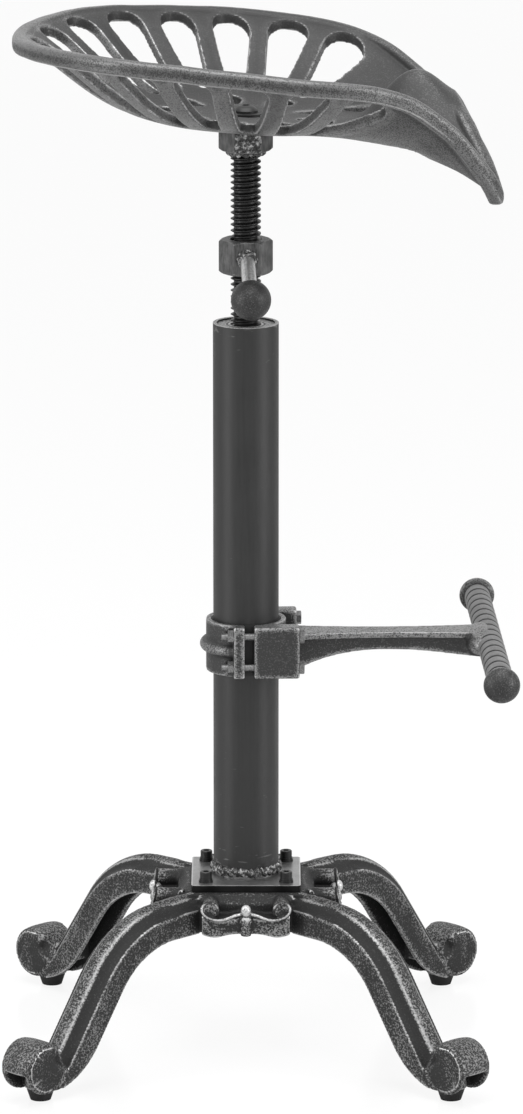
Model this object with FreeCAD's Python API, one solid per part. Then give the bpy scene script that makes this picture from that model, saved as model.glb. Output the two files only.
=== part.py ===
"""Tractor seat stool: cast base, column, clamped footrest, screw-adjusted pierced seat.

Millimetres, +Z up. The origin is on the floor, on the column's axis. +X is the side that the
footrest and the front of the seat point to. The legs lie on the diagonals of X and Y.
"""
import FreeCAD, Part
import math
import os

Vector = FreeCAD.Vector
UP = Vector(0, 0, 1)
ALONG_X = Vector(1, 0, 0)
ALONG_Y = Vector(0, 1, 0)
CENTRE = Vector(0, 0, 0)

# Clearances
sliding_gap = 0.3           # between pieces that move against each other
hole_play = 0.25            # radial play of a screw in its hole

# Foot pads
foot_radius = 238.0         # column axis to pad axis
pad_height = 10.0
pad_top_diameter = 23.6
pad_foot_diameter = 17.0
pad_screw_head_diameter = 8.0
pad_screw_head_height = 2.5
pad_screw_diameter = 4.0
pad_screw_length = 18.0
pad_screw_recess = 2.5      # head face above the floor

# Legs: a curved channel, open below, that ends in a scroll
leg_width = 34.5
leg_depth = 31.0            # top of the leg to its lower edge
leg_wall = 5.0
leg_top_wall = 14.0
leg_bend_reach = 99.0       # column axis to where the leg starts to bend down
leg_bend_radius = 105.0
leg_slope = 55.0            # degrees below level, on the straight shin
leg_cove_radius = 9.0
leg_cove_run_out = 9.0      # how far a cove goes on past the notch above the scroll
leg_ridge_half_width = 8.2
scroll_radius = 22.0
scroll_reach = 245.5        # column axis to scroll axis
scroll_wall = 6.0
scroll_hang = 2.5           # the scroll's lowest line below the top of the pad
window_height = 26.5        # floor to the top of the opening in the scroll
pad_boss_diameter = 26.0
pad_boss_height = 17.0

# Hub of the base
hub_half_width = 57.0
hub_wall = 6.0
hub_top_wall = 8.0
scoop_inner_reach = 48.0    # column axis to a scoop's edge, in the middle of a side
scoop_corner_reach = 61.0   # column axis to a scoop's edge, beside the legs
scoop_half_chord = 53.0
scoop_drop = 7.4            # depth of a scoop at the skirt's face
pocket_start = 61.0         # along the leg, from the column's axis
pocket_end = 88.0
pocket_inner_side = 2.6     # across the leg, from its middle line
pocket_outer_side = 11.0
pocket_depth = 3.0
skirt_reach = 77.5          # column axis to the face of the skirt
skirt_swag_drop = 15.0      # hub top to the lowest point of a swag
skirt_middle_drop = 11.0    # hub top to where the two swags meet
skirt_lift = 2.2            # the skirt's lowest line above the hub's
skirt_wall = 6.0
volute_radius = 7.0
volute_reach = 29.5         # middle of the skirt to a volute's axis
volute_drop = 7.2           # hub top to a volute's axis
volute_setback = 2.0        # a volute's end behind the face of the skirt
bellflower_radius = 5.6
bellflower_drop = 3.4       # hub top to the top of the bellflower

# Flange
flange_width = 91.0
flange_thickness = 6.0
flange_corner_radius = 3.0
flange_screw_spacing = 67.0
stub_diameter = 52.5
stub_height = 7.6
spigot_height = 14.0

# Column
base_top = 140.9
tube_diameter = 54.4
tube_wall = 3.0
tube_length = 461.0
head_nut_height = 40.0
head_nut_recess = 1.5
weld_height = 7.0
weld_thickness = 2.4

# Flange screws
screw_diameter = 6.0
screw_head_diameter = 10.0
screw_head_height = 6.0
socket_across_flats = 5.0
socket_depth = 3.0
spring_washer_thickness = 1.6
spring_washer_width = 2.2
washer_diameter = 12.0
washer_thickness = 1.4
nut_across_flats = 10.0
nut_height = 5.0
nut_chamfer_slope = 0.6     # rise of a nut's end chamfer over its run
nut_well_margin = 3.0       # from a nut's corners to the wall of the well that holds it
screw_end_past_nut = 2.0

# Footrest
footrest_turn = 2.0         # degrees that the footrest stands round the column
clamp_rise = 189.4          # tube's lower end to the middle of the clamp
clamp_height = 43.5
liner_thickness = 1.0
clamp_ring_wall = 4.4
clamp_half_width = 40.0
clamp_inner_ear = 24.0      # column axis to the inner side of a front ear block
rear_ear_face = -11.3
rear_ear_split = -2.3
front_ear_split = 5.6
front_ear_face = 43.3
clamp_rib_radius = 5.2
clamp_bolt_reach = 34.0
clamp_bolt_rise = 13.1
clamp_bolt_diameter = 6.0
bolt_head_height = 4.0
bolt_across_flats = 10.0
bolt_end_past_nut = 5.0
spot_face_diameter = 13.0
arm_top_rise = 10.6         # middle of the clamp to the arm's upper face
arm_root_width = 38.0
arm_waist_width = 22.0
arm_end_width = 35.0
arm_root_height = 31.0
arm_waist_height = 16.5
arm_end_height = 23.0
arm_flange_thickness = 5.0
arm_web_share = 0.62
bar_reach = 202.6
bar_rise = 1.3              # middle of the clamp to the bar's axis
bar_length = 313.0
bar_diameter = 22.0
bar_groove_depth = 1.5
bar_rib_count = 17
cap_diameter = 30.0
cap_dome_height = 10.0
cap_rim_height = 4.0

# Threaded rod
thread_diameter = 25.0
thread_pitch = 5.0
thread_depth = 2.6
rod_end_gap = 1.5           # rod's upper end to the top of the hub nut
rod_length = 306.0
stop_washer_diameter = 40.0
stop_washer_thickness = 4.0
end_screw_diameter = 8.0
end_screw_head_diameter = 16.0
end_screw_head_height = 5.0
end_screw_length = 20.0

# Lock nut
lock_turn = 4.0             # degrees that the lock nut stands round the column
lock_nut_rise = 41.6        # tube's upper end to the lock nut
lock_nut_height = 28.5
lock_nut_across_flats = 39.0
grip_ring_thickness = 2.0
grip_ring_height = 3.0
handle_diameter = 12.0
handle_slope = 30.0         # degrees below level
ball_diameter = 33.0
ball_reach = 63.0           # column axis to ball centre
handle_weld_radius = 9.5

# Seat
seat_turn = 3.0             # degrees that the seat stands round the column
hub_nut_height = 20.8
hub_nut_across_flats = 39.0
hub_weld_height = 4.5
hub_weld_width = 4.0
dish_rise = 174.0           # tube's upper end to the seat's upper face, on the column's axis
seat_wall = 8.5
boss_radius = 31.0
boss_drop = 1.0             # boss underside below the dish's underside
seat_grid_reach = 240.0
seat_grid_steps = 30
outline_pieces = 12
dish_fullness = 2.1
dish_tilt = 0.05            # fall of the dish's floor towards the front, over its run
lobe_fullness = 3.6
lobe_end_angle = 60.0       # degrees from the front
lobe_blend_angle = 25.0
pommel_rise = 55.0
pommel_spread = 12.0        # degrees
pommel_crest = 0.81         # share of the way from the column's axis to the front edge
pommel_length = 0.24
slots_per_side = 7
first_slot_angle = 56.5
slot_pitch = (180 - first_slot_angle) / slots_per_side
slot_bar = 15.0
slot_inner_radius = 86.0
slot_rim_margin = 13.0
front_slot_angle = 29.0     # the leaf-shaped slot beside the pommel
front_slot_start = 96.0
front_slot_end = 164.0
front_slot_inner_half_width = 7.0
front_slot_outer_half_width = 12.0
hole_count = 9
hole_ring_radius = 59.0
hole_half_length = 15.0
hole_inner_half_width = 5.5
hole_outer_half_width = 10.5
seat_bolt_diameter = 10.0
seat_bolt_length = 34.0
seat_bolt_head_diameter = 20.0
seat_bolt_head_height = 5.5
seat_bolt_socket_across_flats = 6.0
seat_bolt_socket_depth = 3.0
seat_washer_diameter = 34.0
seat_washer_thickness = 2.0
spot_face_radius = 18.5
spot_face_depth = 0.6       # below the dish's lowest point

# The seat's rim from the front middle to the back middle: angle, reach, height above the dish's
# upper face on the column's axis
rim_stations = [
    (0.0, 172.0, 15.0),
    (10.0, 181.0, 7.0),
    (18.0, 203.0, -21.0),
    (25.0, 226.0, -48.5),
    (32.0, 222.0, -23.0),
    (38.0, 208.0, 7.0),
    (48.0, 194.0, 34.0),
    (61.0, 189.0, 48.0),
    (77.0, 186.0, 55.0),
    (94.0, 179.0, 61.0),
    (112.0, 176.0, 65.0),
    (130.0, 184.0, 68.0),
    (152.0, 186.0, 68.0),
    (180.0, 189.0, 66.0),
]

# Sizes that follow from those above
flange_top = base_top + flange_thickness
tube_bottom = flange_top + stub_height
tube_top = tube_bottom + tube_length
tube_radius = tube_diameter / 2
tube_bore = tube_radius - tube_wall
clamp_centre = tube_bottom + clamp_rise
arm_top = clamp_centre + arm_top_rise
bar_height = clamp_centre + bar_rise
head_nut_top = tube_top - head_nut_recess
head_nut_bottom = head_nut_top - head_nut_height
thread_radius = thread_diameter / 2
thread_bore = thread_radius + sliding_gap
lock_nut_bottom = tube_top + lock_nut_rise
dish_floor = tube_top + dish_rise
dish_underside = dish_floor - seat_wall
boss_bottom = dish_underside - boss_drop
hub_nut_bottom = boss_bottom - hub_nut_height
washer_seat = dish_floor - spot_face_depth
rod_top = boss_bottom - rod_end_gap
rod_bottom = rod_top - rod_length
screw_reach = flange_screw_spacing / 2
liner_bore = tube_radius + sliding_gap
liner_radius = liner_bore + liner_thickness
clamp_bore = liner_radius + sliding_gap
clamp_radius = clamp_bore + clamp_ring_wall
clamp_bottom = clamp_centre - clamp_height / 2
clamp_top = clamp_centre + clamp_height / 2


def cylinder(radius, height, base=CENTRE, direction=UP):
    return Part.makeCylinder(radius, height, base, direction)


def ring(outer_radius, inner_radius, height, base=CENTRE, direction=UP):
    outer = cylinder(outer_radius, height, base, direction)
    return outer.cut(cylinder(inner_radius, height, base, direction))


def block(x_range, y_range, z_range):
    corner = Vector(x_range[0], y_range[0], z_range[0])
    return Part.makeBox(x_range[1] - x_range[0], y_range[1] - y_range[0], z_range[1] - z_range[0], corner)


def prism(points, direction):
    wire = Part.makePolygon([Vector(*point) for point in points + points[:1]])
    return Part.Face(wire).extrude(direction)


def hexagon(across_flats, height, base=CENTRE, direction=UP):
    """A hexagonal prism with two corners on X, and with both ends chamfered as on a forged nut."""
    corner = across_flats / math.sqrt(3)
    angles = [math.radians(60 * step) for step in range(6)]
    bar = prism([(corner * math.cos(a), corner * math.sin(a), 0) for a in angles], Vector(0, 0, height))
    flat = across_flats / 2
    drop = (corner - flat) * nut_chamfer_slope
    profile = [(0, 0), (flat, 0), (corner, drop), (corner, height - drop), (flat, height), (0, height)]
    solid = bar.common(revolved(profile))
    solid.Placement = FreeCAD.Placement(base, FreeCAD.Rotation(UP, direction))
    return solid


def revolved(profile, base=CENTRE, direction=UP):
    """Turn a closed list of (radius, height) points about the line through base."""
    wire = Part.makePolygon([Vector(radius, 0, height) for radius, height in profile + profile[:1]])
    solid = Part.Face(wire).revolve(CENTRE, UP, 360)
    solid.Placement = FreeCAD.Placement(base, FreeCAD.Rotation(UP, direction))
    return solid


def turned(shape, degrees):
    """A copy of the shape, turned about the column's axis."""
    copy = shape.copy()
    copy.rotate(CENTRE, UP, degrees)
    return copy


def four_corners(reach):
    return [Vector(x, y, 0) for x in (-reach, reach) for y in (-reach, reach)]


def write(name, solids):
    shape = Part.makeCompound(solids) if isinstance(solids, list) else solids
    shape.exportStep("parts/" + name + ".step")


# Legs

slope = math.radians(leg_slope)
bend_centre_height = base_top - leg_bend_radius
shin_direction = Vector(math.cos(slope), 0, -math.sin(slope))
bend_end_angle = math.radians(90 - leg_slope)
scroll_height = pad_height - scroll_hang + scroll_radius


def bend_point(radius, angle):
    """A point of the leg's bend, where an angle of 90 degrees is straight up."""
    across = leg_bend_reach + radius * math.cos(angle)
    return Vector(across, 0, bend_centre_height + radius * math.sin(angle))


def leg_line(depth, start, shin_length):
    """The edges of a line that runs along the leg, at a depth under its top."""
    radius = leg_bend_radius - depth
    bend_start = bend_point(radius, math.pi / 2)
    bend_middle = bend_point(radius, (math.pi / 2 + bend_end_angle) / 2)
    bend_end = bend_point(radius, bend_end_angle)
    shin_end = bend_end + shin_direction * shin_length
    return [
        Part.LineSegment(Vector(start, 0, bend_start.z), bend_start).toShape(),
        Part.Arc(bend_start, bend_middle, bend_end).toShape(),
        Part.LineSegment(bend_end, shin_end).toShape(),
    ]


def notch_shin_length():
    """The length of the shin's top, from the end of the bend to where it meets the scroll."""
    start = bend_point(leg_bend_radius, bend_end_angle)
    offset = start - Vector(scroll_reach, 0, scroll_height)
    along = offset.dot(shin_direction)
    return -along - math.sqrt(along * along - offset.dot(offset) + scroll_radius * scroll_radius)


def lower_shin():
    """The length of the shin's lower edge, and the radius that takes it under the scroll."""
    start = bend_point(leg_bend_radius - leg_depth, bend_end_angle)
    reach = scroll_reach - start.x
    drop = start.z - (scroll_height - scroll_radius)
    turn_across = math.sin(slope)
    turn_down = 1 - math.cos(slope)
    fall = math.cos(slope) * turn_down - math.sin(slope) * turn_across
    length = (reach * turn_down - drop * turn_across) / fall
    return length, (reach - length * math.cos(slope)) / turn_across


def leg_blank(start):
    """The leg's side outline, as thick as the leg is wide."""
    top = leg_line(0, start, notch_shin_length())
    shin_length, sweep_radius = lower_shin()
    bottom = leg_line(leg_depth, start, shin_length)
    notch = top[-1].Vertexes[-1].Point
    sweep_start = bottom[-1].Vertexes[-1].Point
    scroll_centre = Vector(scroll_reach, 0, scroll_height)
    lowest = scroll_centre - Vector(0, 0, scroll_radius)
    outermost = scroll_centre + Vector(scroll_radius, 0, 0)
    sweep_centre = lowest + Vector(0, 0, sweep_radius)
    half = slope / 2
    sweep_middle = sweep_centre - Vector(math.sin(half), 0, math.cos(half)) * sweep_radius
    scroll = Part.Arc(notch, outermost, lowest).toShape()
    sweep = Part.Arc(lowest, sweep_middle, sweep_start).toShape()
    root = Part.LineSegment(bottom[0].Vertexes[0].Point, top[0].Vertexes[0].Point).toShape()
    edges = Part.__sortEdges__(top + [scroll, sweep] + bottom + [root])
    side = Part.Face(Part.Wire(edges))
    side.translate(Vector(0, -leg_width / 2, 0))
    return side.extrude(Vector(0, leg_width, 0))


def leg_cove(start, side):
    """The round groove along one upper edge of the leg, from the hub to just above the scroll."""
    depth = leg_cove_radius * 0.1
    edges = leg_line(depth, start, notch_shin_length() + leg_cove_run_out)
    path = Part.Wire(edges)
    centre_across = leg_ridge_half_width + leg_cove_radius
    path.translate(Vector(0, side * centre_across, 0))
    first = path.Vertexes[0].Point
    circle = Part.Wire(Part.Circle(first, ALONG_X, leg_cove_radius).toShape())
    return path.makePipe(Part.Face(circle))


def leg_channel(start):
    """What is taken out from below, so that the leg is a channel and its scroll is hollow."""
    width = leg_width - 2 * leg_wall
    top = leg_line(leg_top_wall, start, notch_shin_length() - leg_top_wall)
    first = top[0].Vertexes[0].Point
    last = top[-1].Vertexes[-1].Point
    floor_near = Vector(first.x, 0, -1)
    floor_far = Vector(last.x, 0, -1)
    edges = top
    edges.append(Part.LineSegment(last, floor_far).toShape())
    edges.append(Part.LineSegment(floor_far, floor_near).toShape())
    edges.append(Part.LineSegment(floor_near, first).toShape())
    side = Part.Face(Part.Wire(Part.__sortEdges__(edges)))
    side.translate(Vector(0, -width / 2, 0))
    channel = side.extrude(Vector(0, width, 0))
    inner_radius = scroll_radius - scroll_wall
    eye = cylinder(inner_radius, width, Vector(scroll_reach, -width / 2, scroll_height), ALONG_Y)
    outer = scroll_reach + scroll_radius + 1
    mouth = block((last.x - 1, outer), (-width / 2, width / 2), (-1, window_height))
    return channel.fuse([eye, mouth])


def leg():
    start = hub_half_width / 2
    cove_start = hub_half_width + leg_width / 4
    blank = leg_blank(start).cut(leg_cove(cove_start, -1)).cut(leg_cove(cove_start, 1))
    hollow = blank.cut(leg_channel(start))
    boss = cylinder(pad_boss_diameter / 2, pad_boss_height, Vector(foot_radius, 0, pad_height))
    hole = cylinder(pad_screw_diameter / 2, pad_screw_length, Vector(foot_radius, 0, pad_screw_recess))
    return hollow.fuse(boss).cut(hole)


# Base casting

hub_height = leg_depth
hub_bottom = base_top - hub_height
skirt_root_reach = hub_half_width - hub_wall / 2


def skirt_band():
    """The skirt that faces -Y, whose upper edge hangs in two swags between its ends."""
    low = hub_bottom + skirt_lift
    end = volute_reach + volute_radius
    swag = volute_reach * 0.72
    upper = base_top - skirt_swag_drop
    middle = base_top - skirt_middle_drop
    beside = base_top - volute_drop - volute_radius * 0.6
    corners = [Vector(x, -skirt_root_reach, z) for x, z in (
        (-end, low), (end, low), (end, beside), (swag, upper), (0, middle), (-swag, upper), (-end, beside))]
    edges = [
        Part.LineSegment(corners[0], corners[1]).toShape(),
        Part.LineSegment(corners[1], corners[2]).toShape(),
        Part.Arc(corners[2], corners[3], corners[4]).toShape(),
        Part.Arc(corners[4], corners[5], corners[6]).toShape(),
        Part.LineSegment(corners[6], corners[0]).toShape(),
    ]
    return Part.Face(Part.Wire(edges)).extrude(Vector(0, skirt_root_reach - skirt_reach, 0))


def skirt_ornament():
    """One side's skirt, with the round volutes at its ends and the bellflower in its middle."""
    pieces = [skirt_band()]
    for side in (-1, 1):
        centre = Vector(side * volute_reach, -skirt_root_reach, base_top - volute_drop)
        length = skirt_reach - volute_setback - skirt_root_reach
        pieces.append(cylinder(volute_radius, length, centre, -ALONG_Y))
    top = base_top - bellflower_drop
    bottom = hub_bottom + skirt_lift - 1
    height = top - bottom
    radius = bellflower_radius
    bell = [(0, 0), (radius * 0.5, 0), (radius * 0.75, height * 0.15), (radius * 0.6, height * 0.3)]
    bell += [(radius * 0.9, height * 0.45), (radius * 0.7, height * 0.55), (radius, height * 0.75)]
    bell += [(radius * 0.6, height * 0.93), (0, height)]
    pieces.append(revolved(bell, Vector(0, radius * 0.5 - skirt_reach, bottom)))
    return pieces


def skirt_hollow():
    """What is taken out of the skirt from below, so that it is a wall like the hub's."""
    half = volute_reach + volute_radius - skirt_wall
    face = skirt_reach - skirt_wall
    top = base_top - skirt_swag_drop - skirt_wall
    return block((-half, half), (-face, -hub_half_width), (hub_bottom, top))


def hub_scoop():
    """The shallow round hollow between the flange and the skirt that faces -Y."""
    sagitta = scoop_corner_reach - scoop_inner_reach
    plan_radius = (scoop_half_chord ** 2 + sagitta ** 2) / (2 * sagitta)
    plan_centre = scoop_inner_reach + plan_radius
    at_face = plan_centre - hub_half_width
    rise = (plan_radius ** 2 - at_face ** 2 - scoop_drop ** 2) / (2 * scoop_drop)
    radius = math.hypot(plan_radius, rise)
    ball = Part.makeSphere(radius, Vector(0, -plan_centre, base_top + rise))
    reach = plan_centre
    near_hub = block((-reach, reach), (-reach, 0), (hub_bottom, base_top + 1))
    return ball.common(near_hub)


def corner_pockets():
    """The two shallow three-sided pockets on the root of the leg that points along +X."""
    pockets = []
    for side in (-1, 1):
        plan = [(pocket_start, side * pocket_inner_side, base_top - pocket_depth),
                (pocket_start, side * pocket_outer_side, base_top - pocket_depth),
                (pocket_end, side * pocket_inner_side, base_top - pocket_depth)]
        pockets.append(prism(plan, Vector(0, 0, pocket_depth + 1)))
    return pockets


def base_casting():
    half = hub_half_width
    hub = block((-half, half), (-half, half), (hub_bottom, base_top))
    ornaments = []
    for side in range(4):
        ornaments += [turned(piece.cut(skirt_hollow()), 90 * side) for piece in skirt_ornament()]
    legs = [turned(leg(), 45 + 90 * side) for side in range(4)]
    inner = half - hub_wall
    cavity = block((-inner, inner), (-inner, inner), (hub_bottom - 2, base_top - hub_top_wall))
    channels = [turned(leg_channel(half * 0.6), 45 + 90 * side) for side in range(4)]
    scoops = [turned(hub_scoop(), 90 * side) for side in range(4)]
    pockets = [turned(pocket, 45 + 90 * side) for side in range(4) for pocket in corner_pockets()]
    casting = hub.cut(cavity).cut(channels).fuse(legs).cut(scoops).cut(pockets).fuse(ornaments)
    above = block((-half * 2, half * 2), (-half * 2, half * 2), (base_top, base_top + 10))
    holes = [cylinder(screw_diameter / 2 + hole_play, hub_height, spot + UP * hub_bottom)
             for spot in four_corners(screw_reach)]
    well_radius = nut_across_flats / math.sqrt(3) + nut_well_margin
    wells = [cylinder(well_radius, hub_height - hub_top_wall, spot + UP * hub_bottom)
             for spot in four_corners(screw_reach)]
    return casting.cut(holes + wells + [above]).removeSplitter()


# Foot pads

def foot_pad():
    pad = Part.makeCone(pad_foot_diameter / 2, pad_top_diameter / 2, pad_height, Vector(foot_radius, 0, 0))
    recess = cylinder(pad_screw_head_diameter / 2 + hole_play, pad_screw_recess + pad_screw_head_height,
                      Vector(foot_radius, 0, 0))
    hole = cylinder(pad_screw_diameter / 2 + hole_play, pad_height, Vector(foot_radius, 0, 0))
    return pad.cut([recess, hole])


def pad_screw():
    base = Vector(foot_radius, 0, pad_screw_recess)
    head = cylinder(pad_screw_head_diameter / 2, pad_screw_head_height, base)
    return head.fuse(cylinder(pad_screw_diameter / 2, pad_screw_length, base))


# Flange and column

def column_flange():
    half = flange_width / 2
    plate = block((-half, half), (-half, half), (base_top, flange_top))
    upright = [edge for edge in plate.Edges if abs(edge.tangentAt(edge.FirstParameter).z) > 0.9]
    plate = plate.makeFillet(flange_corner_radius, upright)
    stub = cylinder(stub_diameter / 2, stub_height, UP * flange_top)
    spigot = cylinder(tube_bore, spigot_height, UP * tube_bottom)
    centre_hole = cylinder(tube_bore - 5, flange_thickness + stub_height + spigot_height, UP * base_top)
    holes = [cylinder(screw_diameter / 2 + hole_play, flange_thickness, spot + UP * base_top)
             for spot in four_corners(screw_reach)]
    return plate.fuse([stub, spigot]).cut(holes + [centre_hole])


def flange_weld():
    outer = tube_radius + weld_thickness
    half = weld_height / 2
    middle = tube_bottom
    stub_radius = stub_diameter / 2
    profile = [(stub_radius, middle - half), (outer - 0.8, middle - half * 0.4), (outer, middle + 0.5)]
    profile += [(outer - 0.9, middle + half * 0.6), (tube_radius, middle + half)]
    profile += [(tube_radius, middle), (stub_radius, middle)]
    return revolved(profile)


def column_tube():
    return ring(tube_radius, tube_bore, tube_length, UP * tube_bottom)


def column_head_nut():
    return ring(tube_bore, thread_bore, head_nut_height, UP * head_nut_bottom)


def flange_screw_set():
    """The screws, spring washers, flat washers and nuts of the flange, as four lists of solids."""
    screws, springs, washers, nuts = [], [], [], []
    washer_bore = screw_diameter / 2 + hole_play
    head_base = flange_top + washer_thickness + spring_washer_thickness
    nut_top = base_top - hub_top_wall
    shank_bottom = nut_top - nut_height - screw_end_past_nut
    for spot in four_corners(screw_reach):
        washers.append(ring(washer_diameter / 2, washer_bore, washer_thickness, spot + UP * flange_top))
        spring_outer = washer_bore + spring_washer_width
        spring = ring(spring_outer, washer_bore, spring_washer_thickness,
                      spot + UP * (flange_top + washer_thickness))
        slit = block((0, spring_outer + 1), (-0.5, 0.5), (head_base - spring_washer_thickness, head_base))
        slit.translate(spot)
        springs.append(spring.cut(slit))
        head = cylinder(screw_head_diameter / 2, screw_head_height, spot + UP * head_base)
        head = head.makeChamfer(0.6, [head.Edges[0]])
        socket = hexagon(socket_across_flats, socket_depth + 1,
                         spot + UP * (head_base + screw_head_height - socket_depth))
        shank = cylinder(screw_diameter / 2, head_base - shank_bottom, spot + UP * shank_bottom)
        screws.append(head.cut(socket).fuse(shank))
        nut = hexagon(nut_across_flats, nut_height, spot + UP * (nut_top - nut_height))
        nuts.append(nut.cut(cylinder(screw_diameter / 2, nut_height, spot + UP * (nut_top - nut_height))))
    return screws, springs, washers, nuts


# Footrest

def clamp_ring():
    return ring(clamp_radius, clamp_bore, clamp_height, UP * clamp_bottom)


def clamp_bolt_spots(x):
    return [Vector(x, side * clamp_bolt_reach, clamp_centre + rise)
            for side in (-1, 1) for rise in (-clamp_bolt_rise, clamp_bolt_rise)]


def clamp_bolt_holes(x_start, x_end):
    radius = clamp_bolt_diameter / 2 + hole_play
    return [cylinder(radius, x_end - x_start, spot, ALONG_X) for spot in clamp_bolt_spots(x_start)]


def clamp_rear():
    far = clamp_half_width + 1
    height = (clamp_bottom, clamp_top)
    half_ring = clamp_ring().common(block((-far, rear_ear_split), (-far, far), height))
    rib = Part.makeTorus(clamp_radius, clamp_rib_radius, UP * clamp_centre)
    rib = rib.common(block((-far - clamp_rib_radius, rear_ear_face), (-far, far), height))
    ears = [block((rear_ear_face, rear_ear_split), y_range, height)
            for y_range in ((-clamp_half_width, -clamp_inner_ear), (clamp_inner_ear, clamp_half_width))]
    ears = [ear.makeFillet(1.2, ear.Edges) for ear in ears]
    bore = cylinder(clamp_bore, clamp_height, UP * clamp_bottom)
    spot_faces = [cylinder(spot_face_diameter / 2, 20, spot, -ALONG_X)
                  for spot in clamp_bolt_spots(rear_ear_face)]
    body = half_ring.fuse(rib).cut(spot_faces).fuse(ears)
    return body.cut([bore] + clamp_bolt_holes(rear_ear_face - 1, 0))


def arm():
    """The arm: a flange on top of a web, both waisted, from the clamp to the foot bar."""
    start = clamp_bore + clamp_ring_wall / 2
    end = bar_reach
    waist = (front_ear_face + end) / 2
    low = [Vector(start, 0, arm_top - arm_root_height), Vector(front_ear_face, 0, arm_top - arm_root_height)]
    low += [Vector(waist - 25, 0, arm_top - arm_waist_height), Vector(waist + 15, 0, arm_top - arm_waist_height)]
    low.append(Vector(end, 0, arm_top - arm_end_height))
    belly = Part.BSplineCurve()
    belly.interpolate(low[1:])
    side = Part.Wire([
        Part.LineSegment(low[0], low[1]).toShape(),
        belly.toShape(),
        Part.LineSegment(low[-1], Vector(end, 0, arm_top)).toShape(),
        Part.LineSegment(Vector(end, 0, arm_top), Vector(start, 0, arm_top)).toShape(),
        Part.LineSegment(Vector(start, 0, arm_top), low[0]).toShape(),
    ])
    side = Part.Face(side)
    side.translate(Vector(0, -clamp_half_width, 0))
    side = side.extrude(Vector(0, 2 * clamp_half_width, 0))
    bottom = clamp_bottom - 1
    flange = waisted_plan(start, waist, end, 1.0, arm_top - arm_flange_thickness)
    web = waisted_plan(start, waist, end, arm_web_share, bottom)
    return side.common(flange.fuse(web))


def waisted_plan(start, waist, end, share, bottom):
    """The arm's plan, narrowest at the waist, raised from a height up to the arm's top."""
    halves = [(start, arm_root_width / 2), (waist, arm_waist_width / 2), (end, arm_end_width / 2)]
    edges = []
    for side in (-1, 1):
        points = [Vector(x, side * half * share, bottom) for x, half in halves]
        edges.append(Part.Arc(*points).toShape())
    for x, half in (halves[0], halves[-1]):
        edges.append(Part.LineSegment(Vector(x, -half * share, bottom), Vector(x, half * share, bottom)).toShape())
    wire = Part.Wire(Part.__sortEdges__(edges))
    return Part.Face(wire).extrude(Vector(0, 0, arm_top - bottom))


def footrest_arm():
    far = clamp_half_width + 1
    height = (clamp_bottom, clamp_top)
    half_ring = clamp_ring().common(block((front_ear_split, far), (-far, far), height))
    ears = [block((front_ear_split, front_ear_face), y_range, height)
            for y_range in ((-clamp_half_width, -clamp_inner_ear), (clamp_inner_ear, clamp_half_width))]
    ears = [ear.makeFillet(1.6, ear.Edges) for ear in ears]
    bore = cylinder(clamp_bore, clamp_height, UP * clamp_bottom)
    bar_seat = cylinder(bar_diameter / 2, 2 * clamp_half_width,
                        Vector(bar_reach, -clamp_half_width, bar_height), ALONG_Y)
    body = half_ring.fuse(ears + [arm()])
    return body.cut([bore, bar_seat] + clamp_bolt_holes(0, front_ear_face + 1))


def footrest_bar():
    """The foot bar: a row of barrel-shaped ribs with a narrow groove between each two."""
    pitch = bar_length / bar_rib_count
    crest = bar_diameter / 2
    edges = []
    start = Vector(crest - bar_groove_depth, 0, 0)
    for rib in range(bar_rib_count):
        middle = Vector(crest, 0, (rib + 0.5) * pitch)
        end = Vector(crest - bar_groove_depth, 0, (rib + 1) * pitch)
        edges.append(Part.Arc(start, middle, end).toShape())
        start = end
    top = Vector(0, 0, bar_length)
    edges.append(Part.LineSegment(start, top).toShape())
    edges.append(Part.LineSegment(top, CENTRE).toShape())
    edges.append(Part.LineSegment(CENTRE, Vector(crest - bar_groove_depth, 0, 0)).toShape())
    bar = Part.Face(Part.Wire(edges)).revolve(CENTRE, UP, 360)
    base = Vector(bar_reach, -bar_length / 2, bar_height)
    bar.Placement = FreeCAD.Placement(base, FreeCAD.Rotation(UP, ALONG_Y))
    return bar


def bar_cap(side):
    """A mushroom cap: a short rim and a low dome."""
    radius = cap_diameter / 2
    rim_start = Vector(radius, 0, cap_rim_height)
    dome_top = Vector(0, 0, cap_rim_height + cap_dome_height)
    sphere_radius = (radius ** 2 + cap_dome_height ** 2) / (2 * cap_dome_height)
    half_angle = math.asin(radius / sphere_radius) / 2
    sphere_centre = dome_top - UP * sphere_radius
    dome_middle = sphere_centre + Vector(math.sin(half_angle), 0, math.cos(half_angle)) * sphere_radius
    neck = bar_diameter / 2
    edges = [
        Part.LineSegment(CENTRE, Vector(neck, 0, 0)).toShape(),
        Part.LineSegment(Vector(neck, 0, 0), Vector(radius, 0, cap_rim_height * 0.5)).toShape(),
        Part.LineSegment(Vector(radius, 0, cap_rim_height * 0.5), rim_start).toShape(),
        Part.Arc(rim_start, dome_middle, dome_top).toShape(),
        Part.LineSegment(dome_top, CENTRE).toShape(),
    ]
    cap = Part.Face(Part.Wire(edges)).revolve(CENTRE, UP, 360)
    base = Vector(bar_reach, side * bar_length / 2, bar_height)
    cap.Placement = FreeCAD.Placement(base, FreeCAD.Rotation(UP, ALONG_Y * side))
    return cap


def clamp_bolts():
    bolts = []
    end = rear_ear_face - nut_height - bolt_end_past_nut
    for spot in clamp_bolt_spots(front_ear_face):
        head = hexagon(bolt_across_flats, bolt_head_height, spot, ALONG_X)
        shank = cylinder(clamp_bolt_diameter / 2, front_ear_face - end, spot, -ALONG_X)
        bolts.append(head.fuse(shank))
    return bolts


def clamp_nuts():
    nuts = []
    for spot in clamp_bolt_spots(rear_ear_face):
        nut = hexagon(bolt_across_flats, nut_height, spot, -ALONG_X)
        nuts.append(nut.cut(cylinder(clamp_bolt_diameter / 2, nut_height, spot, -ALONG_X)))
    return nuts


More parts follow.
